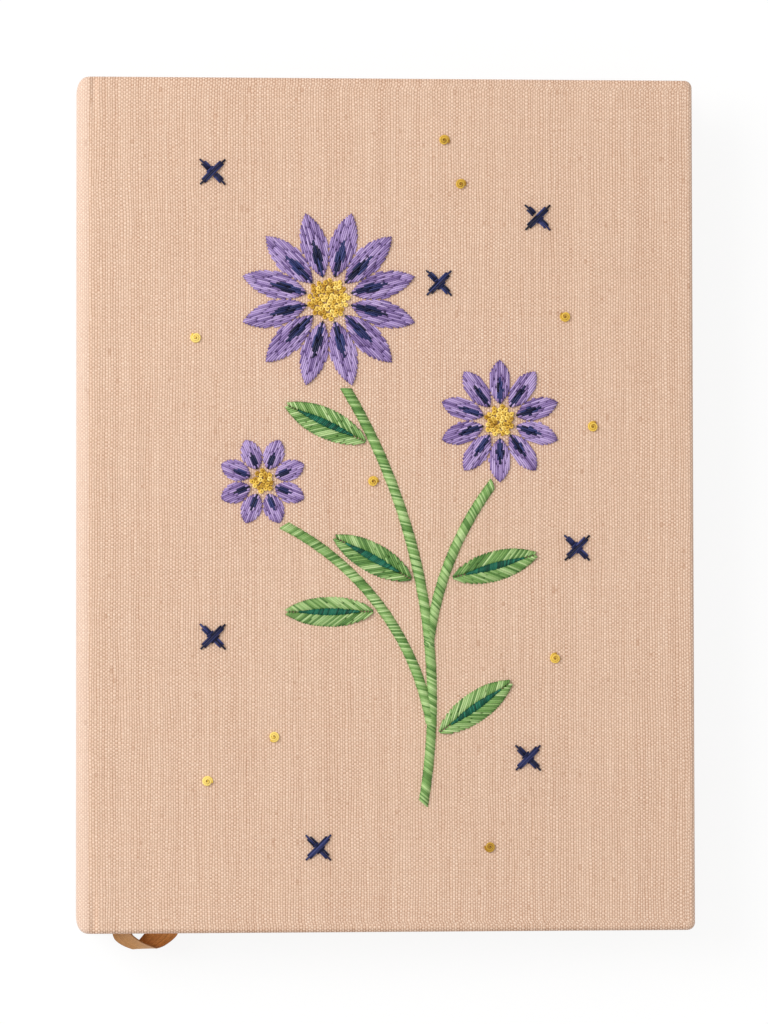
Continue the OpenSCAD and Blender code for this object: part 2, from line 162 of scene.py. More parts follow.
# Embroidery, as in the part's source, from the middle of the front cover
COVER_MID_X = (JOINT_X + FORE_X) / 2
RELIEF = 0.7
RELIEF_EDGE = 0.3
STITCH_PITCH = 0.33
THREAD_W = 0.37
OVER_LIFT = 0.1
STEM_W = 1.7
STEMS = [((5, -54), (-9, 21), 110), ((6, -26), (18, 4), -60), ((6.4, -40), (-20, -4), 50)]
FLOWERS = [((-12, 37), 32, 8, 12), ((19, 15), 22, 6, 10), ((-24, 4), 16, 4.6, 8)]
THREAD_GAP = 0.15
PETAL_FILL = 0.92
SHADE_L = 0.62
SHADE_W = 0.34
SPRIG_LEAVES = [(0, 0.16, -1, 52), (0, 0.52, 1, 50), (0, 0.86, 1, 40), (1, 0.4, -1, 56), (2, 0.5, 1, 54)]
SPRIG_LEAF_L = 17.0
SPRIG_LEAF_W = 5.4
VEIN_W = 1.0
CROSSES = [(26, 52), (-33, 60), (33, -8), (-33, -24), (24, -46), (8, 40), (-14, -62)]
CROSS_L = 6.4
CROSS_W = 1.5
KNOTS = [
    (12, 58), (31, 34), (-36, 30), (-4, 4), (29, -28), (-22, -42), (-34, -50), (9, 66), (36, 14), (17, -62),
]
KNOT_D = 2.2
ON_FRONT = (COVER_MID_X, 0.0, CASE_T)

# How stitches lie
STITCH_POINTS = 7
SINK = 0.3
DIVE = 0.25
ARCH_POWER = 0.45
TRACE_STEP = 0.05
SHORTEST = 0.45
STUB = 0.3
ROW_WANDER = 0.08
CUT_WANDER = 0.12
BRICK_SHIFT = 0.37
PETAL_STITCH = 3.2
SHADE_STITCH = 3.6
COVERED_L = 0.84
COVERED_W = 0.66
STEM_SLANT = 0.55
STEM_WANDER = 0.06
FLOWER_GAP = 0.4
LEAF_STITCH = 4.2
LEAF_SLANT = math.radians(36)
VEIN_CLEAR = 0.12
VEIN_FIRST = 0.3
VEIN_EXTRA = 0.3
VEIN_SLANT = 0.25
CROSS_PITCH = 0.36
KNOT_LIFT = 0.28
KNOT_TURNS = 2.4
SEED_D = 1.2
SEED_TURNS = 1.4
SEEDS_PER_MM2 = 0.95
SEED_INSET = 0.35
SEED_LIFT = 0.05
COIL_FALL = 0.1
COIL_RISE = 0.34
COIL_TIGHTENS = 0.85
THREAD_FACETS = 6
STITCH_RINGS = 8
KNOT_RINGS = 26
BINDING_RINGS = 900
BINDING_STEP = 0.2
BINDING_TWIST = 1.7
BINDING_HOLES = 6

# Picture
PICTURE_H = 1024
PX_PER_MM = 5.53
CAMERA_FAR = 700.0
CAMERA_TURN_DEG = (1.7, -3.6, -0.1)
CAMERA_AIM = (-0.45, -1.5, CASE_T)
CAMERA_CLIP_M = (0.01, 20)
SENSOR_MM = 36.0
FLOOR_HALF = 2500
FLOOR_GLOW = 0.87
SKY_LIGHT = 0.72
SKY_COLOUR = (1.0, 0.99, 0.98, 1.0)
LAMP_PLACE_M = (-0.75, 0.32, 0.745)
LAMP_SIZE_M = 0.6
LAMP_WATTS = 8.95


def linear(colour):
    """A colour as a picture shows it, from 0 to 255, made linear."""
    shares = [channel / 255 for channel in colour]
    return tuple(c / 12.92 if c <= 0.04045 else ((c + 0.055) / 1.055) ** 2.4 for c in shares) + (1.0,)


def add_object(name, data):
    made = bpy.data.objects.new(name, data)
    bpy.context.scene.collection.objects.link(made)
    return made


# Camera


def set_camera():
    """Looks down on the front cover, a little from the spine's side and from the tail."""
    pitch, yaw, roll = (math.radians(turn) for turn in CAMERA_TURN_DEG)
    data = bpy.data.cameras.new("photo_camera")
    data.sensor_width = SENSOR_MM
    data.lens = CAMERA_FAR * SENSOR_MM / (PICTURE_H / PX_PER_MM)
    data.clip_start, data.clip_end = CAMERA_CLIP_M
    camera = add_object("photo_camera", data)
    aim = Vector(CAMERA_AIM) * MM
    turn = Matrix.Rotation(yaw, 4, "Y") @ Matrix.Rotation(pitch, 4, "X") @ Matrix.Rotation(roll, 4, "Z")
    camera.matrix_world = Matrix.Translation(aim) @ turn @ Matrix.Translation((0, 0, CAMERA_FAR * MM))
    bpy.context.scene.camera = camera


# Finishes


def plug(tree, value, socket):
    if isinstance(value, bpy.types.NodeSocket):
        tree.links.new(value, socket)
    else:
        socket.default_value = value


def add_node(tree, kind, settings, inputs):
    """A new node. Each of its inputs is another node's socket or a plain value."""
    made = tree.nodes.new(kind)
    for name, value in settings.items():
        setattr(made, name, value)
    for key, value in inputs.items():
        plug(tree, value, made.inputs[key])
    return made


class Value:
    """A socket in a finish's node tree. Arithmetic on it adds Math nodes."""

    def __init__(self, finish, socket):
        self.finish = finish
        self.socket = socket

    def math(self, operation, *values):
        return self.finish.node("ShaderNodeMath", {"operation": operation}, dict(enumerate(values)))

    def __rsub__(self, other):
        return self.math("SUBTRACT", other, self)


MATH = {
    "__add__": "ADD", "__radd__": "ADD", "__sub__": "SUBTRACT", "__mul__": "MULTIPLY",
    "__rmul__": "MULTIPLY", "__truediv__": "DIVIDE", "__pow__": "POWER", "floor": "FLOOR", "fract": "FRACT",
    "cosine": "COSINE", "above": "GREATER_THAN", "size": "ABSOLUTE", "larger": "MAXIMUM",
}
for method, operation in MATH.items():
    setattr(Value, method, lambda self, *others, kind=operation: self.math(kind, self, *others))


class Finish:
    """A material: constants go on its shader, and what varies is fed to it."""

    def __init__(self, name, **constants):
        self.material = bpy.data.materials.new(name)
        self.material.use_nodes = True
        self.tree = self.material.node_tree
        self.shader = self.tree.nodes["Principled BSDF"]
        for socket, value in constants.items():
            self.shader.inputs[socket.replace("_", " ")].default_value = value

    def node(self, kind, settings, inputs, out=0):
        plain = {key: getattr(value, "socket", value) for key, value in inputs.items()}
        return Value(self, add_node(self.tree, kind, settings, plain).outputs[out])

    def feed(self, socket, value):
        plug(self.tree, value.socket, self.shader.inputs[socket])

    def split(self, vector):
        return [self.node("ShaderNodeSeparateXYZ", {}, {0: vector}, out) for out in range(3)]

    def vector(self, x, y, z=0.0):
        return self.node("ShaderNodeCombineXYZ", {}, {0: x, 1: y, 2: z})

    def uv(self):
        return self.node("ShaderNodeUVMap", {"uv_map": "cloth"}, {})

    def place(self):
        return self.node("ShaderNodeTexCoord", {}, {}, "Object")

    def noise(self, vector, scale, detail=2.0, roughness=0.5, distortion=0.0):
        sizes = {"Scale": scale, "Detail": detail, "Roughness": roughness, "Distortion": distortion}
        return self.node("ShaderNodeTexNoise", {}, {"Vector": vector, **sizes})

    def fibres(self, vector, scale):
        """Thin curling lines, as matted fibres make."""
        return (1 - (self.noise(vector, scale, 2.0, 0.6, 2.6) * 2 - 1).size() * 3).larger(0.0)

    def each(self, number):
        """A fixed random value for each whole number."""
        return self.node("ShaderNodeTexWhiteNoise", {"noise_dimensions": "1D"}, {"W": number})

    def attribute(self, name):
        return self.node("ShaderNodeAttribute", {"attribute_name": name}, {}, "Fac")

    def ramp(self, value, stops):
        made = self.node("ShaderNodeValToRGB", {}, {0: value})
        elements = made.socket.node.color_ramp.elements
        while len(elements) < len(stops):
            elements.new(1.0)
        for element, (place, colour) in zip(elements, stops):
            element.position = place
            element.color = linear(colour)
        return made

    def mix(self, share, first, second):
        inputs = {0: share, 6: first, 7: linear(second)}
        return self.node("ShaderNodeMix", {"data_type": "RGBA"}, inputs, 2)

    def done(self, colour, roughness, height, depth_m, strength):
        """Feeds what varies to the shader. The height shows as relief of that depth."""
        self.feed("Base Color", colour)
        self.feed("Roughness", roughness)
        sizes = {"Strength": strength, "Distance": depth_m, "Height": height}
        self.feed("Normal", self.node("ShaderNodeBump", {}, sizes))
        return self.material


def linen_finish(name, contrast, painted_glare):
    """Plain weave of slubby threads, each with its own tone and its own thick places. Head and tail edges
    are darker, partly from the weave opening and partly as painted shade; the glare share mixes in a pale
    bluish grey as a painted highlight.
    """
    f = Finish(name, Sheen_Weight=0.3, Sheen_Roughness=0.5, Specular_IOR_Level=0.2)
    across, along, _ = f.split(f.uv())

    def field(across_rate, along_rate, detail=1.0):
        return f.noise(f.vector(across * across_rate, along * along_rate), 1.0, detail)

    drift = field(60, 25) - 0.5
    warp_jog = field(700, 110) - 0.5
    weft_jog = field(130, 900) - 0.5
    warp = across / (WARP_PITCH * MM) + drift * 1.6 + warp_jog * 1.1
    weft = along / (WEFT_PITCH * MM) + drift * 1.2 + weft_jog
    warp_no = warp.floor()
    weft_no = weft.floor()
    warp_slub = f.noise(f.vector(warp_no * 3.7, along * 70), 1.0, 2.0, 0.6)
    weft_slub = f.noise(f.vector(weft_no * 2.9 + 50, across * 55), 1.0, 2.0, 0.6)
    warp_over = ((weft - 0.5 + warp_no) * math.pi).cosine()
    weft_over = ((warp - 0.5 + weft_no) * math.pi).cosine()
    rib = 1 - (warp.fract() * 2 - 1) ** 2
    warp_round = 1 - (warp.fract() * 2 - 1) ** 4
    weft_round = 1 - (weft.fract() * 2 - 1) ** 2
    warp_height = warp_round * (0.5 + warp_over * 0.5) * (0.7 + warp_slub * 0.6)
    weft_height = weft_round * (0.5 - weft_over * 0.5) * (0.7 + weft_slub * 0.6)
    height = warp_height.larger(weft_height)
    crossing = f.each(warp_no * 7.31 + weft_no * 13.77)
    tone = f.each(warp_no) * 0.22 + warp_slub * 0.34 + crossing * 0.15 + weft_slub * 0.12
    cloud = field(28, 28, 3.0) - 0.5
    fuzz = field(4200, 4200) - 0.5
    ribbed = field(330, 120) * 2.4 - 0.7
    gap = (1 - height) ** 3
    warp_light = 0.52 - ribbed * 0.2 + crossing * 0.16
    weave = rib * (ribbed * 0.26) + warp_height * warp_light + weft_height * 0.13
    # Painted shade: the cloth is darker where it rolls over the head and tail edges, partly from its weave
    # opening there.
    fold = (1 - ((along.size() - HEAD * MM) / (EDGE_R * MM)).size()).larger(0.0)
    open_weave_and_edge_shade = gap * (0.1 + fold * 0.5) + fold * 0.1
    shade = weave - ribbed * 0.093 + tone * 0.32 + cloud * 0.04 + fuzz * 0.32 - open_weave_and_edge_shade - 0.018
    stops = [
        (0.0, (166, 119, 89)), (0.15, (193, 152, 125)), (0.3, (213, 177, 152)),
        (0.45, (226, 193, 168)), (0.65, (236, 205, 182)), (0.9, (248, 222, 201)),
    ]
    thread = f.ramp((shade - MID_SHADE) * contrast + MID_SHADE, stops)
    fleck = f.noise(f.vector(warp_no * 5.1, along * 420), 1.0, 0.0).above(0.8)
    flecked = f.mix(fleck * (0.35 * contrast), thread, (176, 128, 96))
    # Painted glare: a pale bluish grey mixed over the weave, as a highlight.
    colour = f.mix(painted_glare, flecked, (206, 214, 222))
    return f.done(colour, 0.9 - height * 0.14, height + warp_slub * 0.3 + weft_slub * 0.2, 0.00022, 0.6)


def thread_finish(name, dark, middle, light):
    """Silky embroidery thread: each stitch has its own tone, with painted shade where it goes into the
    cloth.
    """
    f = Finish(name, Specular_IOR_Level=0.3, Sheen_Weight=0.03, Sheen_Roughness=0.35)
    tone = f.attribute("tone")
    along = f.attribute("along")
    # Painted shade at each stitch's ends, where they go into the cloth.
    sunk_end_shade = (along * 2 - 1) ** 6
    ply = f.noise(f.place(), 5200.0, 1.0)
    shade = tone * 0.84 + ply * 0.32 - sunk_end_shade * 0.6 - 0.06
    colour = f.ramp(shade, [(0.0, dark), (0.45, middle), (1.0, light)])
    return f.done(colour, 0.36 + ply * 0.2, ply, 0.00008, 0.5)


def felt_finish():
    """Cream wool felt: matted fibres, softly mottled."""
    f = Finish("cream_wool_felt", Sheen_Weight=0.3, Sheen_Roughness=0.6, Specular_IOR_Level=0.1)
    where = f.place()
    coarse = f.fibres(where, 420.0)
    fine = f.fibres(where, 1100.0)
    fluff = f.noise(where, 3200.0, 3.0, 0.7)
    mottle = f.noise(where, 130.0, 3.0)
    mat = coarse * 0.55 + fine * 0.45
    shade = mat * 0.42 + fluff * 0.3 + mottle * 0.14 + 0.06
    stops = [(0.2, (196, 181, 154)), (0.45, (226, 214, 191)), (0.75, (243, 235, 218))]
    colour = f.ramp(shade, stops)
    return f.done(colour, 0.98 - fluff * 0.08, mat + fluff * 0.5, 0.00022, 0.7)


def paper_finish(name, dark, light):
    """Laid paper: fine ribs across it, a cloudy body and short fibres."""
    f = Finish(name, Specular_IOR_Level=0.2)
    where = f.place()
    x, y, z = f.split(where)
    rib = (y * (2 * math.pi / (LAID_PITCH * MM))).cosine() * 0.5 + 0.5
    cloud = f.noise(where, 90.0, 4.0, 0.6)
    fibre = f.noise(f.vector(x * 2300, y * 700, z * 2300), 1.0, 3.0)
    colour = f.ramp(cloud * 0.24 + fibre * 0.5 + rib * 0.16, [(0.25, dark), (0.65, light)])
    return f.done(colour, 0.78 + fibre * 0.16, rib * 0.4 + fibre, 0.00006, 0.6)


def greyboard_finish():
    """Pressed grey board with dark flecks."""
    f = Finish("pressed_greyboard", Specular_IOR_Level=0.15)
    where = f.place()
    pulp = f.noise(where, 700.0, 5.0, 0.65)
    fleck = f.noise(where, 1900.0, 1.0).above(0.66)
    body = f.ramp(pulp, [(0.3, (150, 142, 128)), (0.7, (186, 178, 164))])
    colour = f.mix(fleck * 0.5, body, (104, 98, 90))
    return f.done(colour, 0.84 + pulp * 0.12, pulp, 0.00012, 0.7)


def stabiliser_finish():
    """White non-woven cloth: random bonded fibres."""
    f = Finish("white_stabiliser", Sheen_Weight=0.1, Specular_IOR_Level=0.2)
    where = f.place()
    fibre = f.noise(where, 1500.0, 6.0, 0.75)
    colour = f.ramp(fibre, [(0.35, (214, 212, 206)), (0.65, (248, 247, 243))])
    return f.done(colour, 0.8 + fibre * 0.15, fibre, 0.0001, 0.6)


def satin_finish(name, dark, light):
    """Satin ribbon: fine ribs across its width and a soft shine."""
    f = Finish(name, Specular_IOR_Level=0.5, Sheen_Weight=0.2, Sheen_Roughness=0.3)
    along, across, _ = f.split(f.uv())
    rib = (along * (2 * math.pi / (SATIN_PITCH * MM))).cosine() * 0.5 + 0.5
    streak = f.noise(f.vector(along * 90, across * 3400), 1.0, 2.0)
    edge = ((across / (RIBBON_W * MM / 2)) ** 2) ** 6
    grain = f.noise(f.vector(along * 3600, across * 3600), 1.0, 1.0) - 0.5
    shade = streak * 0.7 + rib * 0.12 + grain * 0.5 - edge * 0.3 + 0.03
    colour = f.ramp(shade, [(0.2, dark), (0.75, light)])
    return f.done(colour, 0.34 + streak * 0.2, rib + edge * 2, 0.00006, 0.6)


# Making meshes


def show(name, mesh, *finishes):
    for finish in finishes:
        mesh.materials.append(finish)
    return add_object(name, mesh)


@contextmanager
def edited(mesh):
    """The mesh opened for edits, which are written back at the end."""
    work = bmesh.new()
    work.from_mesh(mesh)
    yield work
    work.to_mesh(mesh)
    work.free()


def mesh_of(name, points_mm, faces, uv_mm=None, merge=False):
    """A mesh from points in millimetres. Its cloth map, in metres, keeps the weave at its real size."""
    mesh = bpy.data.meshes.new(name)
    whole = []
    for face in faces:
        kept = [v for i, v in enumerate(face) if v != face[i - 1]]
        if len(set(kept)) > 2:
            whole.append(kept)
    mesh.from_pydata((np.asarray(points_mm, float) * MM).tolist(), [], whole)
    if uv_mm is not None:
        layer = mesh.uv_layers.new(name="cloth")
        corner_points = np.empty(len(mesh.loops), np.int32)
        mesh.loops.foreach_get("vertex_index", corner_points)
        layer.uv.foreach_set("vector", (np.asarray(uv_mm, float)[corner_points] * MM).ravel())
    if merge:
        with edited(mesh) as work:
            bmesh.ops.remove_doubles(work, verts=work.verts, dist=1e-7)
            bmesh.ops.dissolve_degenerate(work, edges=work.edges, dist=1e-8)
    mesh.shade_smooth()
    return mesh


def face_outwards(mesh):
    with edited(mesh) as work:
        bmesh.ops.recalc_face_normals(work, faces=work.faces)


def settle(piece, sharp_deg=None):
    """Makes the piece's modifiers part of its mesh."""
    graph = bpy.context.evaluated_depsgraph_get()
    shaped = piece.evaluated_get(graph)
    made = bpy.data.meshes.new_from_object(shaped, preserve_all_data_layers=True, depsgraph=graph)
    made.name = piece.name
    piece.modifiers.clear()
    piece.data = made
    if sharp_deg is not None:
        made.set_sharp_from_angle(angle=math.radians(sharp_deg))
    return piece


def thicken(piece, wall_mm, offset):
    """Gives a sheet its thickness: offset -1 grows it inwards, 0 to both sides."""
    wall = piece.modifiers.new("wall", "SOLIDIFY")
    wall.thickness = wall_mm * MM
    wall.offset = offset
    return piece


def felted(piece, low_x, high_x):
    """Gives a felt sheet its thickness and rounds its sharp edges between two places along X."""
    settle(thicken(piece, LEAF_T, 0))
    with edited(piece.data) as work:
        weight = work.edges.layers.float.new("bevel_weight_edge")
        for edge in work.edges:
            middle = (edge.verts[0].co.x + edge.verts[1].co.x) / 2 / MM
            sharp = edge.calc_face_angle(0.0) > math.radians(FELT_EDGE_DEG)
            edge[weight] = 1.0 if sharp and low_x < middle < high_x else 0.0
    rounding = piece.modifiers.new("rounding", "BEVEL")
    rounding.width = FELT_ROUND * MM
    rounding.segments = 2
    rounding.limit_method = "WEIGHT"
    return settle(piece, FELT_SHARP_DEG)


def quads(numbers, flip=False):
    """Faces between the rows of an array of point numbers."""
    a, b = numbers[:-1, :-1].ravel(), numbers[1:, :-1].ravel()
    c, d = numbers[1:, 1:].ravel(), numbers[:-1, 1:].ravel()
    faces = np.stack([a, d, c, b] if flip else [a, b, c, d], axis=1)
    return faces.tolist()


def run_along(points):
    """How far along a line each of its points lies."""
    return np.r_[0.0, np.cumsum(np.linalg.norm(np.diff(points, axis=0), axis=1))]


# Linen covers

CORNER_STEPS = 6
MITRE_STEP = 0.3
TOP_INSET = 2.0
ROW_STEP = 2.0
ROLL_STEPS = 15
FLAT_STEPS = 9
BEND = np.radians(np.arange(15, 91, 15))
ROUND_EDGE = [(EDGE_R * (1 - math.sin(a)), EDGE_R * (1 - math.cos(a))) for a in BEND]


def run_shares(length):
    """Places along a side, as shares of it, with one close to each end."""
    count = int(length / ROW_STEP)
    inner = np.linspace(MITRE_STEP / length, 1 - MITRE_STEP / length, count)
    return np.r_[0.0, inner, 1.0]


RUN_X = run_shares(FORE_X - PANEL_SEAM_X)
RUN_Y = run_shares(HEAD - TAIL)


def side_x(inset):
    return PANEL_SEAM_X + RUN_X * (FORE_X - max(inset, CORNER_R) - PANEL_SEAM_X)


def side_y(inset):
    end = max(inset, CORNER_R)
    return TAIL + end + RUN_Y * (HEAD - TAIL - 2 * end)


def cover_outline(inset):
    """The cover's outline from the seam along the tail, fore edge and head, and its outward directions."""
    end = max(inset, CORNER_R)
    radius = max(CORNER_R - inset, 0.0)
    x, y = side_x(inset), side_y(inset)
    turn = np.radians(np.linspace(-90, 0, CORNER_STEPS + 2)[1:-1])
    tail_corner = np.c_[np.cos(turn), np.sin(turn)]
    head_corner = np.c_[np.cos(turn + math.pi / 2), np.sin(turn + math.pi / 2)]
    points = np.r_[
        np.c_[x, np.full_like(x, TAIL + inset)],
        [FORE_X - end, TAIL + end] + radius * tail_corner,
        np.c_[np.full_like(y, FORE_X - inset), y],
        [FORE_X - end, HEAD - end] + radius * head_corner,
        np.c_[x[::-1], np.full_like(x, HEAD - inset)],
    ]
    along_x, along_y = np.zeros((len(x), 2)), np.zeros((len(y), 2))
    outward = np.r_[along_x - [0, 1], tail_corner, along_y + [1, 0], head_corner, along_x + [0, 1]]
    return points, outward


def edge_stations(wall):
    """Inset and depth of the rings that go over a cover's edge: over, down, round and back inside."""
    under = [(inset, wall - depth) for inset, depth in reversed(ROUND_EDGE)]
    inside = [(EDGE_R, wall)] + [(inset, wall) for inset in np.linspace(EDGE_R + 0.5, TURN_IN - 0.25, 4)]
    cut_edge = [(TURN_IN - CUT_CLEAR, wall - 0.1), (TURN_IN, wall - CUT_DROP)]
    return [(RIM_INSET, 0.0), (EDGE_R, 0.0)] + ROUND_EDGE + under + inside + cut_edge


def slack(x, y, lead):
    """The cloth's slight unevenness on its board."""
    wave = np.sin(x * 0.13 + lead) * np.sin(y * 0.11 - lead) + 0.6 * np.sin(x * 0.31 - y * 0.24 + 2 * lead)
    edge = np.clip(np.minimum(FORE_X - x, np.minimum(y - TAIL, HEAD - y)) / SLACK_EDGE, 0, 1)
    return SLACK * wave * edge


def cover_linen(name, outer_z, up, wall, map_x, finish, lead):
    """Linen wrapped over a cover's board, turned in on three sides with mitred corners."""
    stations = edge_stations(wall)
    columns, rows = side_x(TOP_INSET), side_y(TOP_INSET)
    grid_x, grid_y = np.meshgrid(columns, rows)
    grid_z = outer_z + up * slack(grid_x, grid_y, lead)
    points = [np.c_[grid_x.ravel(), grid_y.ravel(), grid_z.ravel()]]
    flat_map = [np.c_[grid_x.ravel(), grid_y.ravel()]]
    numbers = np.arange(grid_x.size).reshape(grid_x.shape)
    faces = quads(numbers, flip=up > 0)
    base, outward = cover_outline(TOP_INSET)
    low_corner, high_corner = (np.full(CORNER_STEPS, numbers[row, -1]) for row in (0, -1))
    ring = np.r_[numbers[0], low_corner, numbers[:, -1], high_corner, numbers[-1, ::-1]]
    corners = np.zeros(len(base), bool)
    corners[len(columns) - 1 : len(columns) + CORNER_STEPS + 1] = True
    corners |= corners[::-1]
    before, run, rings = (TOP_INSET, 0.0), 0.0, [ring]
    total = grid_x.size
    for inset, depth in stations:
        run += math.dist(before, (inset, depth))
        before = (inset, depth)
        outline, _ = cover_outline(inset)
        groove = np.where(corners & (inset >= CORNER_R) & (depth > wall / 2), MITRE_GROOVE, 0.0)
        z = outer_z - up * (depth - groove)
        points.append(np.c_[outline, z])
        flat_map.append(base + outward * run)
        rings.append(np.arange(total, total + len(outline)))
        total += len(outline)
    faces += quads(np.array(rings), flip=up < 0)
    flat_map = np.concatenate(flat_map)
    flat_map[:, 0] = map_x(flat_map[:, 0])
    piece = show(name, mesh_of(name, np.concatenate(points), faces, flat_map, merge=True), finish)
    return settle(thicken(piece, LINEN_SKIN, -1), COVER_SHARP_DEG)


def end_height(x):
    """Half the spine's height at x: its corners are rounded, seen from above."""
    near = np.clip(SPINE_CORNER_R - (np.asarray(x, float) - SPINE_X), 0, SPINE_CORNER_R)
    return HEAD - (SPINE_CORNER_R - np.sqrt(SPINE_CORNER_R**2 - near**2))


def length_stations():
    """Places along the height with how far the cloth has dropped there: tail edge, rows, head edge."""
    tail = [(TAIL + inset, drop) for inset, drop in reversed(ROUND_EDGE)]
    tail += [(TAIL + EDGE_R, 0.0), (TAIL + RIM_INSET, 0.0)]
    rows = [(y, 0.0) for y in side_y(TOP_INSET)]
    return tail + rows + [(-y, drop) for y, drop in reversed(tail)]


CREASE_X = np.array(
    [1.2, 1.0, 0.85, 0.7, 0.55, 0.42, 0.3, 0.2, 0.1, 0.0, -0.1, -0.2, -0.3, -0.42, -0.55, -0.7, -SPINE_SEAM]
)
CREASE_REACH = 0.95
CREASE_MIDDLE = 0.03
CREASE_END = 0.36
CREASE_END_RUN = 13
CREASE_GROWS = 11
CREASE_LOST_ROUND_EDGE = 0.8
PAIR_SHIFT = 0.1


def crease_depth(y):
    """The joint's crease is faint in the middle and deeper towards head and tail."""
    near_end = np.clip((abs(y) - (HEAD - CREASE_END_RUN)) / CREASE_GROWS, 0, 1)
    return CREASE_MIDDLE + (CREASE_END - CREASE_MIDDLE) * near_end**2


def strip_faces(upper, lower, upper_x, lower_x):
    """Triangles that close the strip between two rows of points, which both run from high x to low x."""
    made, i, k = [], 0, 0
    while i < len(upper) - 1 or k < len(lower) - 1:
        if k == len(lower) - 1 or (i < len(upper) - 1 and upper_x[i + 1] >= lower_x[k + 1]):
            made.append([upper[i], upper[i + 1], lower[k]])
            i += 1
        else:
            made.append([upper[i], lower[k + 1], lower[k]])
            k += 1
    return made


def joint_linen(name, outer_z, up, wall, map_from, finish):
    """Linen across a joint: creased outside, and lining the slot between cover and spine inside."""
    lean = np.clip(-CREASE_X, 0, None) / SPINE_ROLL
    roll_drop = SPINE_ROLL * (1 - np.sqrt(1 - lean**2))
    dip = np.clip(1 - (CREASE_X / CREASE_REACH) ** 2, 0, None) ** 2
    inside = [
        (-SPINE_SEAM, SPINE_WALL), (-LIP_X, SPINE_WALL), (-0.25, SPINE_WALL - 0.1),
        (-0.17, SPINE_WALL - 0.35), (-SLOT, 1.2), (-0.12, 1.04), (-0.08, 0.98), (-0.04, 0.96), (0.0, 0.95),
        (0.04, 0.96), (0.08, 0.98), (0.12, 1.04), (SLOT, 1.2), (0.17, wall - 1.0),
        (0.25, wall - 0.35), (LIP_X, wall - 0.12), (0.8, wall - UNDER_LINING), (1.2, wall - UNDER_LINING),
    ]
    inside_x, inside_depth = np.array(inside).T
    side_wall = np.interp(inside_x, [-LIP_X, -SLOT], [SPINE_WALL, wall])
    pair_x = np.where(inside_x < -PAIR_SHIFT, inside_x - PAIR_SHIFT, inside_x)[::-1]
    plan = JOINT_X + np.r_[CREASE_X, inside_x]
    points, flat_map = [], []
    stations = length_stations()
    for y, drop in stations:
        crease = crease_depth(y) * (1 - CREASE_LOST_ROUND_EDGE * drop / EDGE_R)
        depth = roll_drop + crease * dip
        depth_out = depth + drop * np.sqrt(1 - lean**2)
        depth_in = inside_depth + drop * (1 - 2 * inside_depth / side_wall)
        x = np.r_[JOINT_X + CREASE_X + drop * lean, JOINT_X + inside_x]
        z = outer_z - up * np.r_[depth_out, depth_in]
        points.append(np.c_[x, y * end_height(plan) / HEAD, z])
        line = np.c_[plan, np.r_[depth, inside_depth]]
        flat_map.append(np.c_[map_from - run_along(line), np.full(len(x), y)])
    count = len(points[0])
    numbers = np.arange(len(stations) * count).reshape(len(stations), count)
    faces = quads(np.c_[numbers, numbers[:, 0]], flip=up < 0)
    round_faces = len(faces)
    for end in (numbers[0], numbers[-1]):
        faces += strip_faces(end[: len(CREASE_X)], end[: len(CREASE_X) - 1 : -1], CREASE_X, pair_x)
    mesh = mesh_of(name, np.concatenate(points), faces, np.concatenate(flat_map))
    face_outwards(mesh)
    for end_face in mesh.polygons[round_faces:]:
        for corner in end_face.loop_indices:
            place = mesh.vertices[mesh.loops[corner].vertex_index].co
            mesh.uv_layers["cloth"].uv[corner].vector = (place.x, place.z)
    mesh.set_sharp_from_angle(angle=math.radians(SPINE_SHARP_DEG))
    return show(name, mesh, finish), flat_map[len(flat_map) // 2][len(CREASE_X) - 1, 0]


def spine_path():
    """Points round the spine from seam to seam, upper one first, with inward directions and run lengths."""
    start = math.asin(SPINE_SEAM / SPINE_ROLL)
    bend = np.linspace(start, math.pi / 2, ROLL_STEPS)
    upper = np.c_[JOINT_X - SPINE_ROLL * np.sin(bend), CASE_T - SPINE_ROLL * (1 - np.cos(bend))]
    upper_in = np.c_[np.sin(bend), -np.cos(bend)]
    flat_z = np.linspace(CASE_T - SPINE_ROLL, SPINE_ROLL, FLAT_STEPS)[1:-1]
    flat = np.c_[np.full_like(flat_z, SPINE_X), flat_z]
    flat_in = np.tile([1.0, 0.0], (len(flat_z), 1))
    lower = np.c_[upper[::-1, 0], CASE_T - upper[::-1, 1]]
    lower_in = upper_in[::-1] * [1, -1]
    points = np.r_[upper, flat, lower]
    return points, np.r_[upper_in, flat_in, lower_in], run_along(points)


def spine_linen(name, map_from, finish):
    """Linen round the moulded spine, turned in over its card at head and tail."""
    path, inward, run = spine_path()
    turned = [(SPINE_TURN_IN, SPINE_WALL - CUT_DROP), (SPINE_TURN_IN - CUT_CLEAR, SPINE_WALL - 0.08)]
    turned += [(inset, SPINE_WALL) for inset in (SPINE_TURN_IN - 0.4, 8.0, 4.0, EDGE_R)]
    turned += [(inset, SPINE_WALL - depth) for inset, depth in ROUND_EDGE]
    stations = [(TAIL + inset, depth) for inset, depth in turned]
    stations += length_stations()
    stations += [(HEAD - inset, depth) for inset, depth in reversed(turned)]
    along = run_along(stations)
    along -= along[-1] / 2
    points, flat_map = [], []
    for (x, z), (in_x, in_z), length in zip(path, inward, run):
        for (y, depth), place in zip(stations, along):
            at_x = x + in_x * depth
            narrowed = end_height(at_x) / HEAD
            points.append((at_x, y * narrowed, z + in_z * depth))
            flat_map.append((map_from - length, place * narrowed))
    numbers = np.arange(len(points)).reshape(len(path), len(stations))
    piece = show(name, mesh_of(name, points, quads(numbers, flip=True), flat_map), finish)
    return settle(thicken(piece, LINEN_SKIN, -1), SPINE_SHARP_DEG), map_from - run[-1]


# Felt


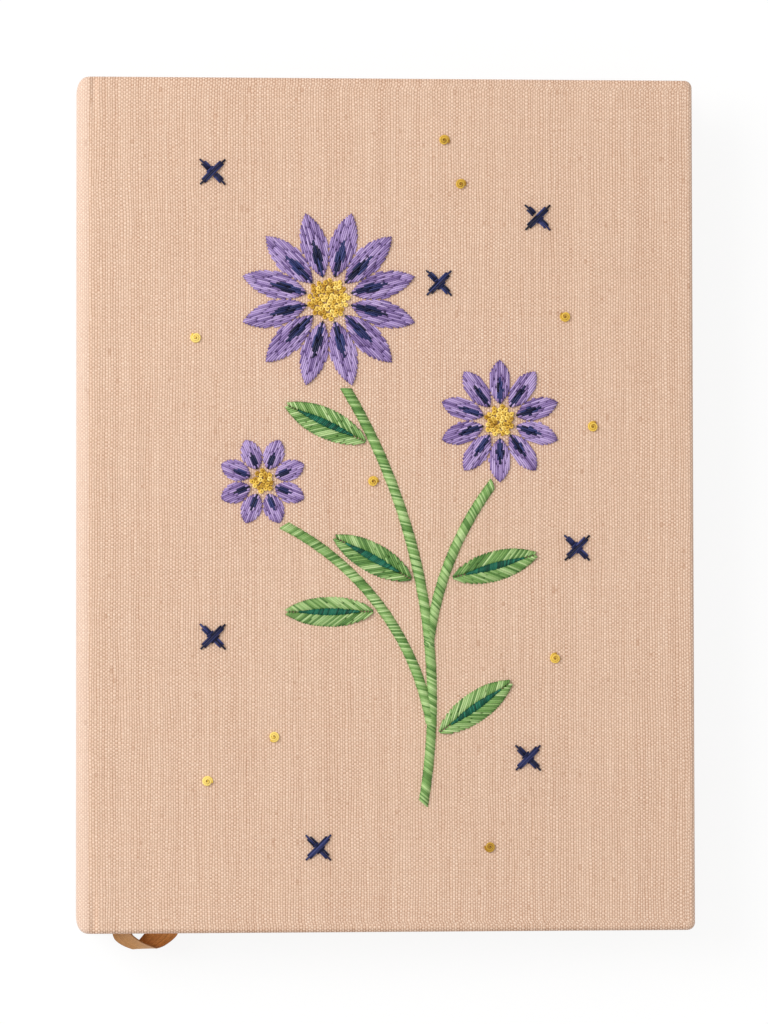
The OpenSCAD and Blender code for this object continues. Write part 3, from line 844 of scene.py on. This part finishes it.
def pinked_leaf(name, pivot, finish, lead):
    """A felt leaf with a pinked edge on three sides. It starts at its fold, with close columns beside its
    pivot.
    """
    fore = FORE_X - FORE_GAP - PINK_DEPTH
    half = leaf_boxes[0][1][1] - PINK_DEPTH
    teeth_x = round((fore - pivot[0] - GUTTER_STRIP) / PINK_PITCH)
    teeth_y = round(2 * half / PINK_PITCH)
    gutter = pivot[0] + np.array([-NOSE, -0.45, -0.25, -0.05, 0.15, 0.35, 0.55, 0.8, 1.2, 1.8, 2.5, 3.2])
    columns = np.r_[gutter, np.linspace(pivot[0] + GUTTER_STRIP, fore, 2 * teeth_x + 1)]
    rows = np.linspace(-half, half, 2 * teeth_y + 1)
    grid_x, grid_y = np.meshgrid(columns, rows)
    points = np.c_[grid_x.ravel(), grid_y.ravel()]
    numbers = np.arange(len(points)).reshape(grid_x.shape)
    faces = quads(numbers, flip=True)
    edges = [
        (numbers[0, len(gutter) :], (0, -1)),
        (numbers[:, -1], (1, 0)),
        (numbers[-1, : len(gutter) - 1 : -1], (0, 1)),
    ]
    tips = []
    for line, out in edges:
        for i in range(1, len(line) - 1, 2):
            tip = len(points) + len(tips)
            tips.append(points[line[i]] + PINK_DEPTH * np.array(out))
            faces += [[line[i - 1], tip, line[i]], [line[i], tip, line[i + 1]]]
    points = np.r_[points, tips]
    far = np.clip((points[:, 0] - pivot[0]) / WAVE_GROWS, 0, 1)
    wave = np.sin(points[:, 0] * 0.09 + lead) * np.cos(points[:, 1] * 0.07 + 2 * lead)
    z = pivot[2] + LEAF_WAVE * far * wave
    piece = show(name, mesh_of(name, np.c_[points, z], faces, points), finish)
    return felted(piece, pivot[0] - NOSE + CUT_CLEAR, FORE_X)


def felt_fold(name, order, finish):
    """The bend of one folded felt sheet, from the start of one leaf to the start of the other."""
    lower = LEAF_PIVOTS[order]
    radius = MIDDLE_Z - lower[2]
    low, high = box_mm(name)
    centre = low[0] + radius + LEAF_T / 2
    leg = high[0]
    bend = np.linspace(math.pi / 2, 3 * math.pi / 2, FOLD_STEPS)
    arc = np.c_[centre + radius * np.cos(bend), MIDDLE_Z + radius * np.sin(bend)]
    path = np.r_[[(leg, MIDDLE_Z + radius)], arc, [(leg, MIDDLE_Z - radius)]]
    rows = np.linspace(low[1], high[1], FOLD_ROWS)
    points = [(x, y, z) for x, z in path for y in rows]
    flat_map = [(length, y) for length in run_along(path) for y in rows]
    numbers = np.arange(len(points)).reshape(len(path), len(rows))
    piece = show(name + "_felt", mesh_of(name, points, quads(numbers), flat_map), finish)
    return felted(piece, SPINE_X, leg - CUT_CLEAR)


# Ribbon


def smooth_route(points, steps):
    """A smooth line through points, with that many steps from each to the next."""
    points = np.asarray(points, float)
    padded = np.r_[[2 * points[0] - points[1]], points, [2 * points[-1] - points[-2]]]
    made = []
    for p0, p1, p2, p3 in zip(padded, padded[1:], padded[2:], padded[3:]):
        for t in np.arange(steps) / steps:
            bend = 2 * p1 + (p2 - p0) * t
            bend = bend + (2 * p0 - 5 * p1 + 4 * p2 - p3) * t**2
            made.append((bend + (3 * p1 - p0 - 3 * p2 + p3) * t**3) / 2)
    return np.array(made + [points[-1]])


def ribbon_route():
    """Places along the ribbon and the directions of its width there."""
    gutter = LEAF_PIVOTS[2][0]
    height = HEAD - TAIL
    flat = (1, 0, 0)
    run, free_end = (
        [(gutter + x, TAIL + share * height, MIDDLE_Z, *flat) for x, share in part]
        for part in (RIBBON_RUN, RIBBON_FREE_END)
    )
    loop = [(gutter + x, TAIL + y, MIDDLE_Z + z, *width) for (x, y, z), width in RIBBON_LOOP]
    route = smooth_route(run + loop + free_end, ROUTE_STEPS)
    return route[:, :3], route[:, 3:]


def satin_ribbon(name, face, back):
    """A satin strip laid along its route. It folds over once in the loop, so the loop shows both sides."""
    centre, across = ribbon_route()
    heading = np.gradient(centre, axis=0)
    through = np.cross(heading, across)
    through /= np.linalg.norm(through, axis=1, keepdims=True)
    run = run_along(centre)
    places = np.array([-1.0, -0.96, -0.88, -0.6, -0.3, 0.0, 0.3, 0.6, 0.88, 0.96, 1.0])
    half_t = RIBBON_T / 2 * np.array([0.55, 1.0, 0.9, 0.72, 0.7, 0.7, 0.7, 0.72, 0.9, 1.0, 0.55])
    section = list(zip(places, half_t)) + list(zip(places[::-1], -half_t[::-1]))
    points, flat_map = [], []
    for i in range(len(centre)):
        for place, rise in section:
            points.append(centre[i] + across[i] * place * RIBBON_W / 2 + through[i] * rise)
            flat_map.append((run[i], place * RIBBON_W / 2))
    in_row = len(section)
    numbers = np.arange(len(points)).reshape(len(centre), in_row)
    faces = quads(np.c_[numbers, numbers[:, 0]])
    faces += [numbers[0, ::-1].tolist(), numbers[-1].tolist()]
    mesh = mesh_of(name, points, faces, flat_map)
    face_outwards(mesh)
    sides = [0 if i % in_row < len(places) else 1 for i in range(len(mesh.polygons))]
    mesh.polygons.foreach_set("material_index", sides)
    mesh.set_sharp_from_angle(angle=math.radians(RIBBON_SHARP_DEG))
    return show(name, mesh, face, back), centre * MM, run[-1] * MM


# Embroidery

rng = np.random.default_rng(7)


def almond_half(length, width, u):
    """Half the width of an almond outline at u from its middle."""
    r = (length**2 + width**2) / 4 / width
    return np.sqrt(np.clip(r**2 - np.asarray(u) ** 2, 0, None)) - r + width / 2


def in_almond(length, width):
    """A test for points in an almond that starts at the origin and runs along X."""
    return lambda p: np.abs(p[:, 1]) < almond_half(length, width, p[:, 0] - length / 2)


def pad_height(width):
    """The pad's height over the linen, from its distance to the pad's middle line."""
    return lambda p: RELIEF_EDGE + (RELIEF - RELIEF_EDGE) * np.clip(1 - (2 * p[:, 1] / width) ** 2, 0, 1)


def lay(start, end, height):
    """One stitch from start to end: over the pad, with both ends going into the cloth."""
    t = np.linspace(0, 1, STITCH_POINTS)
    points = np.outer(1 - t, start) + np.outer(t, end)
    arch = np.clip(np.sin(math.pi * t), 0, 1) ** ARCH_POWER
    z = (height(points) - THREAD_W / 2) * (1 - SINK + SINK * arch) - DIVE * (1 - arch)
    return np.c_[points, z]


def fill(inside, height, direction, pitch, reach, stitch):
    """Rows of stitches over a shape, side by side, their ends staggered like bricks."""
    along = np.array([math.cos(direction), math.sin(direction)])
    beside = np.array([-along[1], along[0]])
    t = np.arange(-reach, reach, TRACE_STEP)
    made = []
    for row in range(int(-reach / pitch), int(reach / pitch) + 1):
        line = np.outer(t, along) + beside * (row + rng.uniform(-ROW_WANDER, ROW_WANDER)) * pitch
        hit = np.r_[False, inside(line), False]
        edges = np.flatnonzero(np.diff(hit.astype(int)))
        for first, last in zip(edges[::2], edges[1::2]):
            length = (last - first) * TRACE_STEP
            if length < SHORTEST:
                continue
            cuts = [0.0]
            place = stitch * ((row * BRICK_SHIFT) % 1.0)
            place = place if place > STUB * stitch else place + stitch
            while place < length - STUB * stitch:
                cuts.append(place + rng.uniform(-CUT_WANDER, CUT_WANDER))
                place += stitch
            cuts.append(length)
            begin = line[first]
            made += [lay(begin + along * a, begin + along * b, height) for a, b in zip(cuts, cuts[1:])]
    return made


def put(stitches, place, angle):
    """Turns stitches and moves them to their place on the front cover."""
    c, s = math.cos(angle), math.sin(angle)
    turn = np.array([[c, s, 0], [-s, c, 0], [0, 0, 1]])
    return [points @ turn + np.array([place[0], place[1], 0.0]) for points in stitches]


def petal_sizes(flower):
    _, across, middle, count = flower
    length = (across - middle) / 2 - THREAD_GAP
    width = PETAL_FILL * (middle / 2 + length / 2) * 2 * math.sin(math.pi / count)
    return length, width


def on_petals(flower):
    """Place and angle of each petal's base."""
    (x, y), _, middle, count = flower
    for k in range(count):
        angle = (k + 0.5) * 2 * math.pi / count
        base = middle / 2 + THREAD_GAP
        yield (x + base * math.cos(angle), y + base * math.sin(angle)), angle


def petal_stitches():
    """Long stitches down each petal, and darker ones over its base."""
    violet, navy = [], []
    for flower in FLOWERS:
        length, width = petal_sizes(flower)
        shade_l, shade_w = length * SHADE_L, width * SHADE_W
        shaded = in_almond(shade_l, shade_w)
        covered = in_almond(shade_l * COVERED_L, shade_w * COVERED_W)
        outline = in_almond(length, width)
        bare = lambda p: outline(p) & ~covered(p)
        pad = pad_height(width)
        over = lambda p: pad(p) + OVER_LIFT
        reach = length + 1
        for place, angle in on_petals(flower):
            violet += put(fill(bare, pad, 0.0, STITCH_PITCH, reach, PETAL_STITCH), place, angle)
            navy += put(fill(shaded, over, 0.0, STITCH_PITCH, reach, SHADE_STITCH), place, angle)
    return violet, navy


def coil(place, lift, across, turns):
    """A knot: thread wound round itself, rising to its middle."""
    t = np.linspace(0, 1, STITCH_POINTS * 3)
    lead = rng.uniform(0, 2 * math.pi)
    angle = lead + t * turns * 2 * math.pi
    radius = (across - THREAD_W) / 2 * (1 - COIL_TIGHTENS * t)
    z = lift - COIL_FALL + COIL_RISE * t
    return np.c_[place[0] + radius * np.cos(angle), place[1] + radius * np.sin(angle), z]


def centre_stitches():
    """Small knots packed over each flower's dome."""
    made = []
    for place, _, across, _ in FLOWERS:
        count = int(SEEDS_PER_MM2 * across**2)
        for k in range(count):
            reach = (across / 2 - SEED_INSET) * math.sqrt((k + 0.5) / count)
            angle = k * math.pi * (3 - math.sqrt(5))
            spot = np.array(place) + reach * np.array([math.cos(angle), math.sin(angle)])
            lift = KNOT_LIFT * (1 - (2 * reach / across) ** 2)
            made.append(coil(spot, lift + SEED_LIFT, SEED_D, SEED_TURNS))
    return made


def stem_point(stem, t):
    """A place on a stem's arc, its direction there, and the arc's length."""
    start, end, bend = np.array(stem[0], float), np.array(stem[1], float), stem[2]
    chord = end - start
    half = np.linalg.norm(chord) / 2
    beside = np.array([-chord[1], chord[0]]) / (2 * half)
    centre = (start + end) / 2 + math.copysign(math.sqrt(bend**2 - half**2), bend) * beside
    first = math.atan2(*(start - centre)[::-1])
    angle = first + t * 2 * math.copysign(math.asin(half / abs(bend)), bend)
    place = centre + abs(bend) * np.array([math.cos(angle), math.sin(angle)])
    return place, angle + math.copysign(math.pi / 2, bend), 2 * abs(bend) * math.asin(half / abs(bend))


def stem_stitches():
    """Slanting satin stitches along each stem, up to the flower that it carries."""
    made = []
    for stem in STEMS:
        count = int(stem_point(stem, 0)[2] / STITCH_PITCH)
        for k in range(count + 1):
            place, heading, _ = stem_point(stem, k / count)
            if any(math.dist(place, flower[0]) < flower[1] / 2 + FLOWER_GAP for flower in FLOWERS):
                continue
            half = STEM_W / 2 + rng.uniform(-STEM_WANDER, STEM_WANDER)
            stitch = lay((-STEM_SLANT, -half), (STEM_SLANT, half), pad_height(STEM_W))
            made += put([stitch], place, heading)
    return made


def on_leaves():
    """Place and angle of each sprig leaf's base."""
    for which, share, side, lean in SPRIG_LEAVES:
        place, heading, _ = stem_point(STEMS[which], share)
        off = side * (STEM_W / 2 + THREAD_GAP)
        base = place + off * np.array([-math.sin(heading), math.cos(heading)])
        yield base, heading + side * math.radians(lean)


def leaf_stitches():
    """Each half of a leaf slants from the vein towards the tip. The vein is satin stitch across."""
    green, dark = [], []
    outline = in_almond(SPRIG_LEAF_L, SPRIG_LEAF_W)
    vein_l = SPRIG_LEAF_L * SHADE_L
    vein_start = SPRIG_LEAF_L * (1 - SHADE_L) / 2
    in_vein = lambda p: np.abs(p[:, 1]) < almond_half(vein_l, VEIN_W, p[:, 0] - SPRIG_LEAF_L / 2)
    pad = pad_height(SPRIG_LEAF_W)
    top = lambda p: np.full(len(p), RELIEF)
    for base, angle in on_leaves():
        for side in (-1, 1):
            half = lambda p: outline(p) & (side * p[:, 1] > VEIN_CLEAR) & ~in_vein(p)
            laid = fill(half, pad, side * LEAF_SLANT, STITCH_PITCH, SPRIG_LEAF_L, LEAF_STITCH)
            green += put(laid, base, angle)
        for u in np.arange(VEIN_FIRST, vein_l, STITCH_PITCH):
            half = float(almond_half(vein_l, VEIN_W + VEIN_EXTRA, u - vein_l / 2))
            at = vein_start + u
            dark += put([lay((at - VEIN_SLANT, -half), (at + VEIN_SLANT, half), top)], base, angle)
    return green, dark


def cross_stitches():
    """Two crossed arms: one whole, and one that leaves room for it."""
    made = []
    arm = in_almond(CROSS_L, CROSS_W)
    under = lambda p: arm(p) & (np.abs(p[:, 0] - CROSS_L / 2) > CROSS_W / 2 + THREAD_GAP)
    start = np.array([-CROSS_L / 2, 0.0, 0.0])
    for place in CROSSES:
        for angle, shape in ((45, arm), (135, under)):
            laid = fill(shape, pad_height(CROSS_W), 0.0, CROSS_PITCH, CROSS_L + 1, CROSS_L)
            made += put([points + start for points in laid], place, math.radians(angle))
    return made


def knot_stitches():
    return [coil(place, KNOT_LIFT, KNOT_D, KNOT_TURNS) for place in KNOTS]


def thread_tree():
    """Turns lines into laid thread: round, with its own tone for each stitch."""
    tree = bpy.data.node_groups.new("laid_thread", "GeometryNodeTree")
    kinds = {"Radius": "Float", "Points": "Int", "Tone seed": "Int", "Finish": "Material"}
    for name, kind in {"Lines": "Geometry", **kinds}.items():
        tree.interface.new_socket(name, in_out="INPUT", socket_type="NodeSocket" + kind)
    tree.interface.new_socket("Threads", in_out="OUTPUT", socket_type="NodeSocketGeometry")

    def step(kind, settings, inputs, out=0):
        return add_node(tree, "GeometryNode" + kind, settings, inputs).outputs[out]

    def store(geometry, domain, name, value):
        settings = {"data_type": "FLOAT", "domain": domain}
        return step("StoreNamedAttribute", settings, {"Geometry": geometry, "Name": name, "Value": value})

    given = tree.nodes.new("NodeGroupInput").outputs
    curve = step("MeshToCurve", {}, {0: given["Lines"]})
    smooth = step("CurveSplineType", {"spline_type": "CATMULL_ROM"}, {0: curve})
    even = step("ResampleCurve", {}, {"Curve": smooth, "Count": given["Points"]})
    chance = add_node(tree, "FunctionNodeRandomValue", {"data_type": "FLOAT"}, {"Seed": given["Tone seed"]})
    toned = store(even, "CURVE", "tone", chance.outputs[1])
    marked = store(toned, "POINT", "along", step("SplineParameter", {}, {}, "Factor"))
    ring = step("CurvePrimitiveCircle", {}, {"Resolution": THREAD_FACETS, "Radius": given["Radius"]})
    tube = step("CurveToMesh", {}, {"Curve": marked, "Profile Curve": ring, "Fill Caps": True})
    shaded = step("SetShadeSmooth", {}, {0: tube})
    real = step("RealizeInstances", {}, {0: shaded})
    dressed = step("SetMaterial", {}, {"Geometry": real, "Material": given["Finish"]})
    tree.links.new(dressed, tree.nodes.new("NodeGroupOutput").inputs[0])
    return tree


def laid_thread(name, lines, lift_mm, finish, seed, width, rings):
    """One piece of thread made from lines of points in millimetres."""
    stacked = np.concatenate(lines) + np.array(lift_mm)
    edges, first = [], 0
    for line in lines:
        edges += [(first + i, first + i + 1) for i in range(len(line) - 1)]
        first += len(line)
    mesh = bpy.data.meshes.new(name)
    mesh.from_pydata((stacked * MM).tolist(), edges, [])
    piece = show(name, mesh)
    threads = piece.modifiers.new("threads", "NODES")
    threads.node_group = THREAD_TREE
    values = {"Radius": width * MM / 2, "Points": rings, "Tone seed": seed, "Finish": finish}
    for key, value in values.items():
        threads[THREAD_TREE.interface.items_tree[key].identifier] = value
    return settle(piece)


def binding_lines():
    """The two twisted strands of the thread that is sewn in and out through the folds."""
    low, high = box_mm("binding_thread")
    thick = high[2] - low[2]
    inner, outer = high[0] - thick / 2, low[0] + thick / 2
    holes = np.linspace(low[1] + thick / 2, high[1] - thick / 2, BINDING_HOLES)
    sides = [(outer, inner), (inner, outer)] * BINDING_HOLES
    corners = np.array([(x, y) for y, pair in zip(holes, sides) for x in pair])
    path = []
    for a, b in zip(corners, corners[1:]):
        count = max(int(math.dist(a, b) / BINDING_STEP), 2)
        path += [a + (b - a) * t for t in np.arange(count) / count]
    path = np.array(path + [corners[-1]])
    heading = np.gradient(path, axis=0)
    heading /= np.linalg.norm(heading, axis=1, keepdims=True)
    beside = np.c_[-heading[:, 1], heading[:, 0]]
    turn = np.arange(len(path)) * BINDING_STEP * 2 * math.pi / BINDING_TWIST
    strands = []
    for lead in (0.0, math.pi):
        side = thick / 4 * np.cos(turn + lead)
        z = MIDDLE_Z + thick / 4 * np.sin(turn + lead)
        strands.append(np.c_[path + beside * side[:, None], z])
    return strands, thick / 2


# Floor and light


def set_stage():
    """A pale floor that looks nearly white to the camera, under an even sky."""
    corners = np.array([(-1, -1, 0), (1, -1, 0), (1, 1, 0), (-1, 1, 0)]) * FLOOR_HALF
    floor_mesh = mesh_of("pale_floor", corners, [[0, 1, 2, 3]])
    f = Finish("pale_floor", Roughness=0.9, Specular_IOR_Level=0.0)
    paper = f.noise(f.place(), 3.0, 2.0)
    f.feed("Base Color", f.ramp(paper, [(0.3, (246, 246, 246)), (0.7, (250, 250, 250))]))
    seen = f.node("ShaderNodeLightPath", {}, {}, "Is Camera Ray")
    glow = f.node("ShaderNodeEmission", {}, {"Color": (1, 1, 1, 1), "Strength": 1.0})
    lit = f.shader.outputs[0]
    shown = f.node("ShaderNodeMixShader", {}, {0: seen * FLOOR_GLOW, 1: lit, 2: glow})
    plug(f.tree, shown.socket, f.tree.nodes["Material Output"].inputs["Surface"])
    show("pale_floor", floor_mesh, f.material)
    world = bpy.data.worlds.new("studio")
    bpy.context.scene.world = world
    world.use_nodes = True
    tree = world.node_tree
    sky = tree.nodes["Background"]
    sky.inputs["Color"].default_value = SKY_COLOUR
    sky.inputs["Strength"].default_value = SKY_LIGHT
    white = add_node(tree, "ShaderNodeBackground", {}, {"Strength": 1.0}).outputs[0]
    seen = add_node(tree, "ShaderNodeLightPath", {}, {}).outputs["Is Camera Ray"]
    shown = add_node(tree, "ShaderNodeMixShader", {}, {0: seen, 1: sky.outputs[0], 2: white}).outputs[0]
    plug(tree, shown, tree.nodes["World Output"].inputs["Surface"])


def set_lamp():
    """A soft lamp from the spine's side and the head, aimed at the case."""
    data = bpy.data.lights.new("window_side_lamp", "AREA")
    data.size = LAMP_SIZE_M
    data.energy = LAMP_WATTS
    lamp = add_object("window_side_lamp", data)
    lamp.location = LAMP_PLACE_M
    lamp.rotation_mode = "QUATERNION"
    lamp.rotation_quaternion = (-Vector(LAMP_PLACE_M)).to_track_quat("-Z", "Y")


# Putting it together


def stand_in(piece, body, node):
    """The piece moves with a body and shows in place of a solid."""
    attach(piece, body)
    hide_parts(node)


def bend_across(piece):
    """Bakes the piece's placement into its mesh."""
    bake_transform(piece)


set_camera()
bpy.context.scene.view_settings.view_transform = "Standard"

satin_face = satin_finish("tan_satin_face", (156, 99, 41), (228, 170, 104))
satin_back = satin_finish("brown_satin_back", (172, 99, 34), (246, 168, 86))
ribbon, ribbon_line, ribbon_length = satin_ribbon("satin_ribbon_marker", satin_face, satin_back)
stand_in(ribbon, "leaf_3", "ribbon_marker")

linen = linen_finish("peach_slub_linen", contrast=1.0, painted_glare=0.0)
# The spine's linen has a painted glare: paler, bluish and with a softer weave, as a highlight on its roll.
glare_painted_linen = linen_finish("peach_linen_painted_glare", contrast=0.75, painted_glare=0.09)
front = cover_linen("front_cover_linen", CASE_T, 1, FRONT_T, lambda x: x, linen, lead=0.4)
front_joint, spine_map = joint_linen("front_joint_linen", CASE_T, 1, FRONT_T, PANEL_SEAM_X, linen)
spine, back_joint_map = spine_linen("spine_linen_wrap", spine_map, glare_painted_linen)
back_map = back_joint_map - (PANEL_SEAM_X - spine_map)
back_joint, _ = joint_linen("back_joint_linen", 0.0, -1, BACK_T, PANEL_SEAM_X, linen)
over_back = lambda x: back_map - (x - PANEL_SEAM_X)
back = cover_linen("back_cover_linen", 0.0, -1, BACK_T, over_back, linen, lead=1.7)
stand_in(front, "front_cover", "front_cloth")
stand_in(spine, "spine", "spine_cloth")
stand_in(back, "back_cover", "back_cloth")
for piece, body, z in ((front_joint, "front_cover", CASE_T), (back_joint, "back_cover", 0.0)):
    bend_across(piece)

felt = felt_finish()
for order, name in enumerate(("outer_fold", "middle_fold", "inner_fold")):
    stand_in(felt_fold(name, order, felt), "spine", name)
for i, pivot in enumerate(LEAF_PIVOTS, 1):
    leaf = pinked_leaf(f"pinked_felt_leaf_{i}", pivot, felt, lead=1.3 * i)
    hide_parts(f"felt_leaf_{i}")
    bend_across(leaf)

THREAD_TREE = thread_tree()
violet = thread_finish("violet_thread", (96, 72, 128), (152, 128, 180), (190, 168, 212))
navy = thread_finish("navy_thread", (6, 8, 32), (24, 30, 72), (56, 64, 120))
yellow = thread_finish("yellow_thread", (166, 120, 32), (230, 190, 76), (252, 226, 130))
green = thread_finish("leaf_green_thread", (62, 108, 44), (122, 162, 88), (190, 214, 152))
dark_green = thread_finish("dark_green_thread", (0, 50, 36), (2, 86, 64), (36, 120, 94))
petals, shading = petal_stitches()
leaf_blades, veins = leaf_stitches()
embroidery = [
    ("petal_stitches", petals, violet, "violet_thread", "embroidered_petals"),
    ("shading_stitches", shading, navy, "navy_thread", "petal_shading"),
    ("centre_knots", centre_stitches(), yellow, "yellow_thread", "flower_centres"),
    ("stem_stitches", stem_stitches(), green, "green_thread", "embroidered_stems"),
    ("leaf_stitches", leaf_blades, green, "green_thread", "embroidered_leaves"),
    ("vein_stitches", veins, dark_green, "dark_green_thread", "leaf_veins"),
    ("cross_stitches", cross_stitches(), navy, "navy_thread", "scattered_crosses"),
    ("single_knots", knot_stitches(), yellow, "yellow_thread", "scattered_knots"),
]
for seed, (name, lines, finish, slot, node) in enumerate(embroidery, 1):
    rings = KNOT_RINGS if "knots" in name else STITCH_RINGS
    stand_in(laid_thread(name, lines, ON_FRONT, finish, seed, THREAD_W, rings), "front_cover", node)

waxed = thread_finish("waxed_linen_thread", (178, 158, 128), (222, 206, 180), (244, 234, 214))
strands, strand_w = binding_lines()
binding = laid_thread("sewn_binding_thread", strands, (0, 0, 0), waxed, 21, strand_w, BINDING_RINGS)
stand_in(binding, "spine", "binding_thread")

greyboard = greyboard_finish()
lining = paper_finish("cream_lining_paper", (204, 186, 162), (226, 211, 190))
stabiliser = stabiliser_finish()
kept = {
    "back_board": greyboard, "front_board": greyboard, "spine_stiffener": greyboard,
    "back_lining": lining, "front_lining": lining, "spine_lining": lining,
    "embroidery_backing": stabiliser,
}
for node, finish in kept.items():
    mesh = frame["nodes"][node].data
    mesh.materials.clear()
    mesh.materials.append(finish)

set_stage()
set_lamp()
